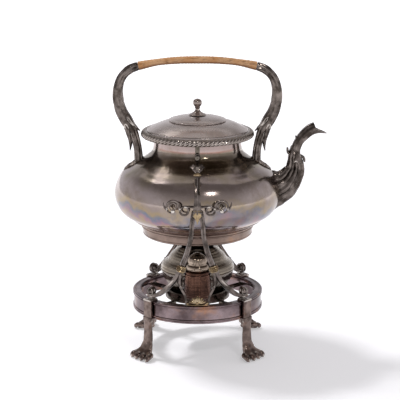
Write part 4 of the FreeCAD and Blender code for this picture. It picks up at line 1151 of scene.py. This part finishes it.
def makeScrollLeg():
    start, way, reach = scrollHeading()
    level, curl = frameSizes["volute"], frameSizes["curl"]
    at = lambda along, height: start + way * along + Vector((0, 0, height))
    line = [
        at(0.0, 128.5), at(reach * 0.15, 115.5), at(reach * 0.38, 102.5), at(reach * 0.64, level + 2.6),
        at(reach * 0.86, level - curl + 1.2), at(reach, level - curl),
    ]
    for i in range(1, 12):
        turn = math.radians(-90 + 42 * i)
        tight = curl - 0.27 * i
        line.append(at(reach + tight * math.cos(turn), level + tight * math.sin(turn)))
    across = way.cross(Vector((0, 0, 1)))
    wide, thick = frameSizes["scrollWidth"], frameSizes["scrollThick"]
    corner = 4.0
    groove = lambda share, turn: groovedBar(turn, corner, 1, 1.3) * ease(1.0, 0.8, share)
    leg = castBar(
        "scrollLeg", line, across, [wide, wide * 0.92, wide * 0.92, wide, wide * 0.96, wide * 0.9, wide * 0.8],
        [thick, thick * 0.95, thick, thick * 1.05, thick * 0.9, thick * 0.66, thick * 0.5], 150, 32, corner, groove,
    )
    eye = roundBead("scrollEye", 5.0, at(reach, level), (1.0, 1.0, 1.0), 28, 18)
    heart = at(reach, level) * mm
    moveVerts(eye, lambda co: heart + (co - heart) + across * ((co - heart).dot(across) * 0.18))
    corners = [at(reach - 5.6, 78.0), at(reach - 1.5, 78.0), at(reach + 2.6, 78.0)]
    pad = castBar("scrollPad", [corners[0], corners[1], corners[2]], across, [8.0, 8.0], [2.0, 2.0], 10, 24, 6.0)
    raisePad = castBar(
        "scrollFoot", [at(reach - 1.5, 77.6), at(reach - 1.5, level - curl - 0.6)], across,
        [8.0, 6.4, 5.6, 6.2], [8.6, 6.6, 5.4, 6.4], 16, 32, 4.0,
    )
    leafLine = [at(reach * 0.12, 117.0), at(reach * 0.36, 104.6), at(reach * 0.56, 97.2), at(reach * 0.66, 97.4)]
    leaf = castBar(
        "scrollLeaf", leafLine, across, [4.0, 5.8, 5.2, 1.4], [2.2, 3.4, 2.4, 1.0], 34, 22, 2.2,
        lambda share, turn: -0.35 * (1 - abs(math.sin(2.5 * turn))) ** 1.6,
    )
    return joinPieces("scrollLegFrontRight", [leg, eye, pad, raisePad, leaf])


def makeLyre():
    corner = 3.4
    groove = lambda share, turn: groovedBar(turn, corner, 1, 0.5)
    right = castBar(
        "lyreRight", frameSizes["lyre"], (-1, 0, 0), [3.8, 3.4, 3.2, 3.2, 3.4], [3.2, 3.0, 3.0], 64, 28, corner, groove
    )
    bud = roundBead("lyreBud", 2.3, (20.2, -83.6, 101.5), (1, 0.9, 1.15), 16, 10)
    right = joinPieces("lyreRight", [right, bud])
    return joinPieces("lyreFront", [right, mirrorPiece(right, "lyreLeft", 0)])


def makeShell():
    x, y, seat = frameSizes["shellSeat"]
    half, height = frameSizes["shellHalf"], frameSizes["shellHeight"]
    parts = []
    for i in range(9):
        turn = math.radians(-72 + 18 * i)
        reach = (height - 3.2) * (1.0 - 0.10 * (i % 2))
        a = Vector((1.4 * math.sin(turn), y + 0.2, seat + 2.6))
        b = Vector((reach * 0.6 * math.sin(turn), y - 1.5, seat + 2.6 + reach * 0.6 * math.cos(turn)))
        c = Vector((reach * 1.06 * math.sin(turn), y - 1.1, seat + 2.6 + reach * math.cos(turn)))
        across = (math.cos(turn), 0, -math.sin(turn))
        parts.append(castBar("lobe", [a, b, c], across, [1.2, 2.6, 3.6, 3.6, 1.0], [2.4, 3.2, 3.6, 3.0, 1.0], 22, 18, 2.1))
    parts.append(castBar(
        "shellBase", [(-half, y, seat + 1.6), (-half / 2, y, seat + 1.2), (half / 2, y, seat + 1.2), (half, y, seat + 1.6)],
        (0, 1, 0), [3.4, 5.4, 6.0, 5.4, 3.4], [2.2, 2.4, 2.4, 2.2], 32, 24, 2.6,
    ))
    for side in (-1, 1):
        parts.append(roundBead("shellCurl", 2.0, (side * (half - 1.2), y - 1.0, seat + 3.2), (1, 0.9, 1), 14, 8))
    parts.append(roundBead("shellBoss", 2.4, (0, y - 1.4, seat + 3.4), (1.2, 0.8, 0.9), 16, 10))
    return joinPieces("shellFront", parts)


def bracketArc(x, z, radius, start, sweep, widths, name, cuts=56):
    out = frameSizes["bracketOut"]
    line = [(px, -out, pz) for px, pz in arcPoints(x, z, radius, start, sweep, 16)]
    groove = lambda share, turn: -0.28 * max(math.cos(turn), 0.0) ** 6
    return castBar(name, line, (0, -1, 0), widths, widths, cuts, 18, 2.2, groove)


def makeBracket():
    out = frameSizes["bracketOut"]
    parts = [
        bracketArc(30.0, 213.0, 7.8, -75, 285, [1.6, 2.6, 3.0, 3.0, 2.8], "largeHoop", 80),
        bracketArc(30.0, 213.6, 4.3, -58, 298, [1.2, 2.0, 2.1, 1.9, 1.2], "innerHoop"),
        bracketArc(16.2, 208.0, 5.2, 0, 358, [2.6, 2.6], "smallHoop"),
        castBar("stay", [(2.6, -out, 212.6), (9.0, -out, 213.2), (16.2, -out, 213.1)], (0, 1, 0), [2.4, 2.8, 2.4], [2.6, 2.8, 2.4], 18, 18),
        castBar("bridge", [(20.6, -out, 210.6), (22.4, -out, 210.2)], (0, 1, 0), [2.2, 2.2], [2.4, 2.4], 6, 14),
        castBar(
            "tail", [(37.0, -out, 209.6), (39.4, -out, 211.6), (41.6, -out, 216.0), (41.9, -out, 219.6)], (0, 1, 0),
            [2.6, 2.4, 1.8, 0.8], [2.6, 2.6, 1.8, 0.8], 20, 14,
        ),
    ]
    plain = joinPieces("bracketRight", parts)
    plain = joinPieces("bracketsFront", [plain, mirrorPiece(plain, "bracketLeft", 0)])
    bud = roundBead("bracketBud", 2.7, (30.0, -out - 0.5, 207.9), (1, 1, 1), 20, 12)
    return plain, joinPieces("bracketBudsFront", [bud, mirrorPiece(bud, "budLeft", 0)])


def placeFrame():
    brackets, buds = makeBracket()
    frontPieces = [
        (makeHanger(), "hanger", "cast_plate", "framePlate"),
        (makeKnop(), "knop", "gilt_brass", "giltBrass"),
        (makeYoke(), "yoke", "cast_plate", "framePlate"),
        (makeForkLeaf(), None, "gilt_brass", "giltBrass"),
        (makeCollar(), "collars", "gilt_brass", "giltBrass"),
        (makeLyre(), "lyre", "cast_plate", "framePlate"),
        (makeShell(), "shell", "gilt_brass", "giltBrass"),
        (brackets, "brackets", "cast_plate", "framePlate"),
        (buds, None, "gilt_brass", "budSilver"),
    ]
    for piece, node, slot, finish in frontPieces:
        rear = mirrorPiece(piece, piece.name.replace("Front", "Rear"), 1)
        finishPiece(piece, "stand", [node + "_front"] if node else [], metals[finish], 45)
        finishPiece(rear, "stand", [node + "_rear"] if node else [], metals[finish], 45)
    right = makeScrollLeg()
    left = mirrorPiece(right, "scrollLegFrontLeft", 0)
    legs = {"front_right": right, "front_left": left}
    legs["rear_right"] = mirrorPiece(right, "scrollLegRearRight", 1)
    legs["rear_left"] = mirrorPiece(left, "scrollLegRearLeft", 1)
    for corner, leg in legs.items():
        finishPiece(leg, "stand", ["scroll_leg_" + corner], metals["framePlate"], 45)


placeFrame()


print("stage: base ring and paw legs")

baseRing = {
    "steps": 192,
    # Down the outside of the band and back up its inside, as (radius, height)
    "outline": [
        (76.0, 76.0), (80.6, 76.0), (81.0, 75.5), (81.6, 75.5), (82.0, 76.0), (84.2, 76.0), (84.8, 75.6), (85.0, 74.9),
        (84.8, 74.2), (84.3, 73.8), (84.3, 73.4), (84.9, 72.9), (84.9, 72.2), (84.3, 71.7), (83.7, 71.4), (83.6, 70.6),
        (83.6, 66.0), (83.6, 61.0), (83.6, 58.6), (83.8, 57.9), (84.4, 57.5), (84.9, 56.9), (84.9, 56.2), (84.3, 55.7),
        (84.3, 55.3), (84.8, 54.9), (85.0, 54.2), (84.8, 53.4), (84.2, 53.0), (82.0, 53.0), (82.0, 74.4), (75.6, 74.4),
        (75.6, 70.0), (74.0, 70.0), (74.0, 75.2), (74.2, 75.7), (74.8, 76.0), (75.2, 75.6), (75.6, 75.6),
    ],
}

leg = {
    "azimuth": 43.0,
    "width": 14.0,
    # Down the middle of the leg from the knee under the band to the instep
    "shin": [(86.6, 53.0), (86.4, 42.0), (86.6, 31.0), (87.6, 20.5), (91.2, 12.0), (98.0, 6.2)],
    "shinWidths": [14.0, 14.4, 15.0, 15.4, 20.0, 30.0],
    "shinDepths": [4.6, 4.6, 5.0, 5.8, 7.6, 6.0],
    "toes": 4,
    "toeSpacing": 9.2,
    "toeWidth": 8.6,
    "reach": 103.4,
    "sole": [(86.0, 3.0), (91.0, 2.4), (97.5, 2.2)],
}


def makeBaseRing():
    ring = turnOutline("baseRing", baseRing["outline"], baseRing["steps"])
    finishPiece(ring, "stand", ["base_ring"], metals["ringPlate"], 30)


def legPart(name, line, widths, depths, cuts, sides, corner, relief=None):
    return castBar(name, line, (0, 1, 0), widths, depths, cuts, sides, corner, relief)


def toeRelief(share, turn):
    # A knuckle, the dip behind it, and fine hair on the top of the toe
    knuckle = 0.55 * math.sin(math.pi * min(share * 2.0, 1.0)) ** 2
    dip = -0.5 * ease(0.42, 0.47, share) * ease(0.58, 0.50, share)
    hair = -0.22 * abs(math.sin(5 * turn + 9 * share)) * ease(0.5, 0.3, share)
    return knuckle + dip + hair


def makeLeg():
    width = leg["width"]
    corner = 5.0
    panel = lambda share, turn: flutedFace(-turn, corner, 3, 0.7) * ease(0.0, 0.12, share) * ease(1.0, 0.88, share)
    parts = [
        legPart("strap", [(86.7, 0, 78.0), (86.7, 0, 65.0), (86.7, 0, 51.0)], [width, width], [4.2, 4.2], 50, 40, corner, panel),
        legPart("tab", [(76.2, 0, 77.1), (88.6, 0, 77.1)], [width, width], [1.9, 1.9], 12, 32, 7.0),
        legPart("tabBead", [(87.4, 0, 77.4), (89.0, 0, 77.6)], [width - 1.0, width - 1.6], [2.6, 1.2], 8, 24, 3.0),
    ]
    for height, proud, deep in ((53.6, 1.7, 5.2), (51.6, 1.1, 5.0), (49.9, 0.5, 5.2)):
        parts.append(legPart(
            "step", [(87.0, 0, height + 0.9), (87.0, 0, height - 0.9)],
            [width + proud - 0.6, width + proud, width + proud - 0.6], [deep, deep + 0.5, deep], 8, 36, corner,
        ))

    def shinRelief(share, turn):
        x = acrossBar(turn, 3.2)
        front = max(-math.sin(turn), 0.0) ** 0.5
        leaf = ease(0.02, 0.16, share) * ease(0.66, 0.5, share)
        veins = -0.9 * leaf * abs(math.sin(math.pi * (3 * x + 2.4 * share * (1 if x > 0 else -1)))) ** 2
        spine = 1.0 * leaf * max(1 - abs(x) * 4, 0)
        fur = -0.55 * ease(0.56, 0.70, share) * abs(math.sin(12 * x + 16 * share)) ** 2
        return front * (veins + spine) + fur

    shin = [(x, 0, z) for x, z in leg["shin"]]
    parts.append(legPart("shin", shin, leg["shinWidths"], leg["shinDepths"], 90, 56, 3.2, shinRelief))
    parts.append(legPart(
        "heel", [(85.6, 0, 17.0), (87.0, 0, 10.0), (89.6, 0, 5.4), (95.0, 0, 3.6)], [11.4, 12.6, 14.0, 24.0],
        [4.4, 6.4, 8.0, 6.0], 30, 40, 3.0,
    ))
    sole = [(x, 0, z) for x, z in leg["sole"]]
    parts.append(legPart("sole", sole, [12.4, 20.0, 29.0], [4.8, 4.4, 4.2], 16, 36, 3.4))
    count, reach, wide = leg["toes"], leg["reach"], leg["toeWidth"]
    for i in range(count):
        y = leg["toeSpacing"] * (i - (count - 1) / 2)
        tip = reach - 0.008 * y * y
        line = [
            (tip - 12.0, y * 0.66, 6.8), (tip - 8.0, y * 0.84, 6.6), (tip - 4.4, y * 0.96, 6.0), (tip - 0.8, y, 4.6),
            (tip + 0.2, y, 3.0), (tip - 1.4, y, 1.6),
        ]
        parts.append(legPart(
            "toe", line, [5.2, wide * 0.86, wide, wide * 1.02, wide * 0.86, wide * 0.5], [5.0, 6.2, 6.6, 6.2, 5.4, 3.0],
            40, 26, 2.2, toeRelief,
        ))
        claw = [(tip - 0.4, y, 5.0), (tip + 1.5, y, 3.4), (tip + 1.6, y, 0.6)]
        parts.append(legPart("claw", claw, [3.6, 3.2, 1.0], [2.6, 2.2, 0.8], 14, 16, 2.0))
    paw = joinPieces("leg", parts)
    moveVerts(paw, lambda co: Vector((co.x, co.y, max(co.z, 0.0))))
    return paw


def placeLegs():
    paw = makeLeg()
    azimuth = leg["azimuth"]
    corners = {
        "rear_right": azimuth, "rear_left": 180 - azimuth, "front_left": 180 + azimuth, "front_right": 360 - azimuth,
    }
    for corner, turn in corners.items():
        piece = turnPiece(paw, "leg." + corner, turn)
        finishPiece(piece, "stand", ["leg_" + corner], metals["legPlate"], 45)
    bpy.data.objects.remove(paw)


makeBaseRing()
placeLegs()


print("stage: burner")

burner = {
    "wall": 1.0,
    "steps": 168,
    # The bowl's outside from the lip down to its foot
    "bowl": [
        (48.2, 103.3), (48.2, 102.4), (47.7, 101.6), (46.9, 101.0), (46.7, 100.0), (45.8, 96.0), (44.4, 92.0), (42.0, 88.0),
        (38.8, 84.0), (35.7, 80.8), (34.5, 78.4), (34.3, 76.0), (34.7, 73.0), (35.5, 70.4), (36.0, 68.1),
    ],
    "leaves": 40,
    "leafDepth": 1.1,
    "shroud": [
        (21.6, 132.3), (23.6, 131.7), (25.8, 130.8), (28.2, 129.0), (30.2, 127.1), (33.2, 124.6), (35.6, 122.0),
        (37.4, 119.0), (39.2, 116.2), (42.2, 114.0), (45.2, 112.1), (46.6, 110.0),
    ],
    "shroudLip": [
        (47.4, 108.2), (47.9, 106.9), (48.2, 105.8), (48.0, 105.2), (47.4, 104.9), (47.2, 104.5), (47.8, 104.1), (48.2, 103.5),
    ],
    "lipInside": [(46.3, 108.2), (46.8, 106.4), (46.9, 103.5)],
    "mouth": [(20.8, 131.2), (20.6, 132.0), (21.0, 132.4)],
    "lineCount": 28,
    "lineDepth": 0.26,
    "fillerPlace": -38.0,
    "filler": [
        (16.9, 76.1), (17.4, 76.5), (17.5, 77.2), (17.1, 77.8), (17.1, 78.3), (17.6, 79.0), (17.8, 84.0), (17.8, 92.0),
        (17.7, 99.0), (17.4, 105.4), (17.2, 106.6), (16.5, 107.2), (16.2, 107.8), (16.5, 108.4), (16.7, 109.1), (16.5, 109.9),
        (15.8, 110.4),
    ],
    "fillerLines": 17,
    "fillerInside": [(10.4, 110.5), (10.4, 115.4), (9.1, 115.4), (9.1, 105.6), (15.8, 105.4), (15.8, 77.5), (0.0, 77.4), (0.0, 76.1)],
    "cap": [
        (10.8, 110.9), (13.4, 110.9), (14.3, 111.6), (15.0, 113.2), (15.2, 114.9), (15.0, 116.5), (14.3, 117.9), (13.4, 118.8),
        (12.8, 119.2), (12.5, 119.9), (12.8, 120.8), (13.0, 122.6), (12.7, 125.0), (11.7, 127.5), (9.9, 129.9),
        (8.3, 131.2), (6.5, 132.2), (5.2, 132.7), (4.5, 132.9), (4.2, 133.5), (3.3, 134.1), (1.7, 134.4), (0.0, 134.5),
        (0.0, 117.8), (10.7, 117.8),
    ],
    "capLobes": 12,
}


def shroudLine():
    slope = smoothPairs(burner["shroud"], 120)
    lines = burner["lineCount"]
    turned = []
    for i, (r, z) in enumerate(slope):
        share = i / (len(slope) - 1)
        dip = burner["lineDepth"] * (1 - abs(math.sin(math.pi * lines * share))) ** 2 * ease(0.0, 0.04, share)
        turned.append((r - dip * 0.7, z - dip * 0.7))
    return turned + burner["shroudLip"]


def clearOfFiller(obj, radius, low, high):
    # The filler stands in front of the shroud, so the shroud is cut round it
    deselectAll()
    bpy.ops.mesh.primitive_cylinder_add(
        vertices=72, radius=radius * mm, depth=(high - low) * mm,
        location=(0, burner["fillerPlace"] * mm, (low + high) / 2 * mm),
    )
    knife = started("fillerKnife")
    applyModifier(obj, "BOOLEAN", object=knife, operation="DIFFERENCE", solver="EXACT")
    bpy.data.objects.remove(knife)


def makeBowl():
    outside = smoothPairs(burner["bowl"], 70)
    inside = offsetLine(outside, burner["wall"])
    bowl = turnOutline("burnerBowl", outside + inside[::-1], burner["leaves"] * 10)

    def leaves(co):
        r, z = math.hypot(co.x, co.y) / mm, co.z / mm
        reach = ease(100.8, 99.0, z) * ease(79.0, 82.0, z)
        if reach <= 0 or r < 20:
            return co
        turn = math.atan2(co.y, co.x) * burner["leaves"] / 2
        rib = abs(math.cos(turn)) ** 0.5
        dip = burner["leafDepth"] * reach * (1 - rib)
        return Vector((co.x * (1 - dip / r), co.y * (1 - dip / r), co.z))

    moveVerts(bowl, leaves)
    deselectAll()
    bpy.ops.mesh.primitive_cylinder_add(vertices=96, radius=34.4 * mm, depth=1.0 * mm, location=(0, 0, 73.5 * mm))
    floor = started("bowlFloor")
    bpy.ops.object.transform_apply(location=True)
    bowl = joinPieces("burnerBowl", [bowl, floor])
    clearOfFiller(bowl, 18.2, 75.9, 140.0)
    finishPiece(bowl, "stand", ["burner_bowl"], metals["burnerPlate"], 40)


def makeShroud():
    outside = burner["mouth"] + shroudLine()
    inside = offsetLine(smoothPairs(burner["shroud"], 50), burner["wall"])[:-2] + burner["lipInside"]
    shroud = turnOutline("burnerShroud", outside + inside[::-1], burner["steps"])
    clearOfFiller(shroud, 18.2, 90.0, 108.7)
    clearOfFiller(shroud, 16.2, 90.0, 150.0)
    finishPiece(shroud, "stand", ["burner_shroud"], metals["shroudPlate"], 34)


def makeFiller():
    shift = Vector((0, burner["fillerPlace"], 0)) * mm
    outside = smoothPairs(burner["filler"], 150)
    turned = []
    for i, (r, z) in enumerate(outside):
        groove = (1 - abs(math.sin(math.pi * burner["fillerLines"] * (z - 79.0) / 26.0))) ** 2
        turned.append((r - 0.3 * groove * ease(78.6, 80.0, z) * ease(106.0, 104.6, z), z))
    filler = turnOutline("fillerNeck", turned + burner["fillerInside"], 96)
    moveVerts(filler, lambda co: co + shift)
    finishPiece(filler, "stand", ["filler_neck"], metals["potBrass"], 34)
    cap = turnOutline("fillerCap", burner["cap"], burner["capLobes"] * 10)

    def lobes(co):
        r, z = math.hypot(co.x, co.y) / mm, co.z / mm
        reach = ease(119.6, 121.4, z) * ease(132.6, 131.0, z)
        if r < 1.0 or reach <= 0:
            return co
        dip = 0.55 * reach * (1 - abs(math.cos(burner["capLobes"] / 2 * math.atan2(co.y, co.x))) ** 0.6)
        return Vector((co.x * (1 - dip / r), co.y * (1 - dip / r), co.z - dip * 0.4 * mm))

    moveVerts(cap, lobes)
    moveVerts(cap, lambda co: co + shift)
    finishPiece(cap, "filler_cap", ["filler_cap"], metals["capPlate"], 45)


makeBowl()
makeShroud()
makeFiller()


print("stage: the pieces of the frame that only need a finish")

keptNodes = {
    "darkFitting": [
        "kettle_bottom", "trunnion_front", "trunnion_rear", "trunnion_nuts", "handle_grip_core", "leg_screws",
        "burner_cradle", "reservoir_deck", "lid_knob_nut",
    ],
    "lidPlate": ["lid_flange"],
    "burnerPlate": ["wick_tube"],
    "wickCotton": ["wick"],
}


def finishKept():
    for finish, names in keptNodes.items():
        for name in names:
            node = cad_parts[name]
            node.data.materials.clear()
            node.data.materials.append(metals[finish])


finishKept()
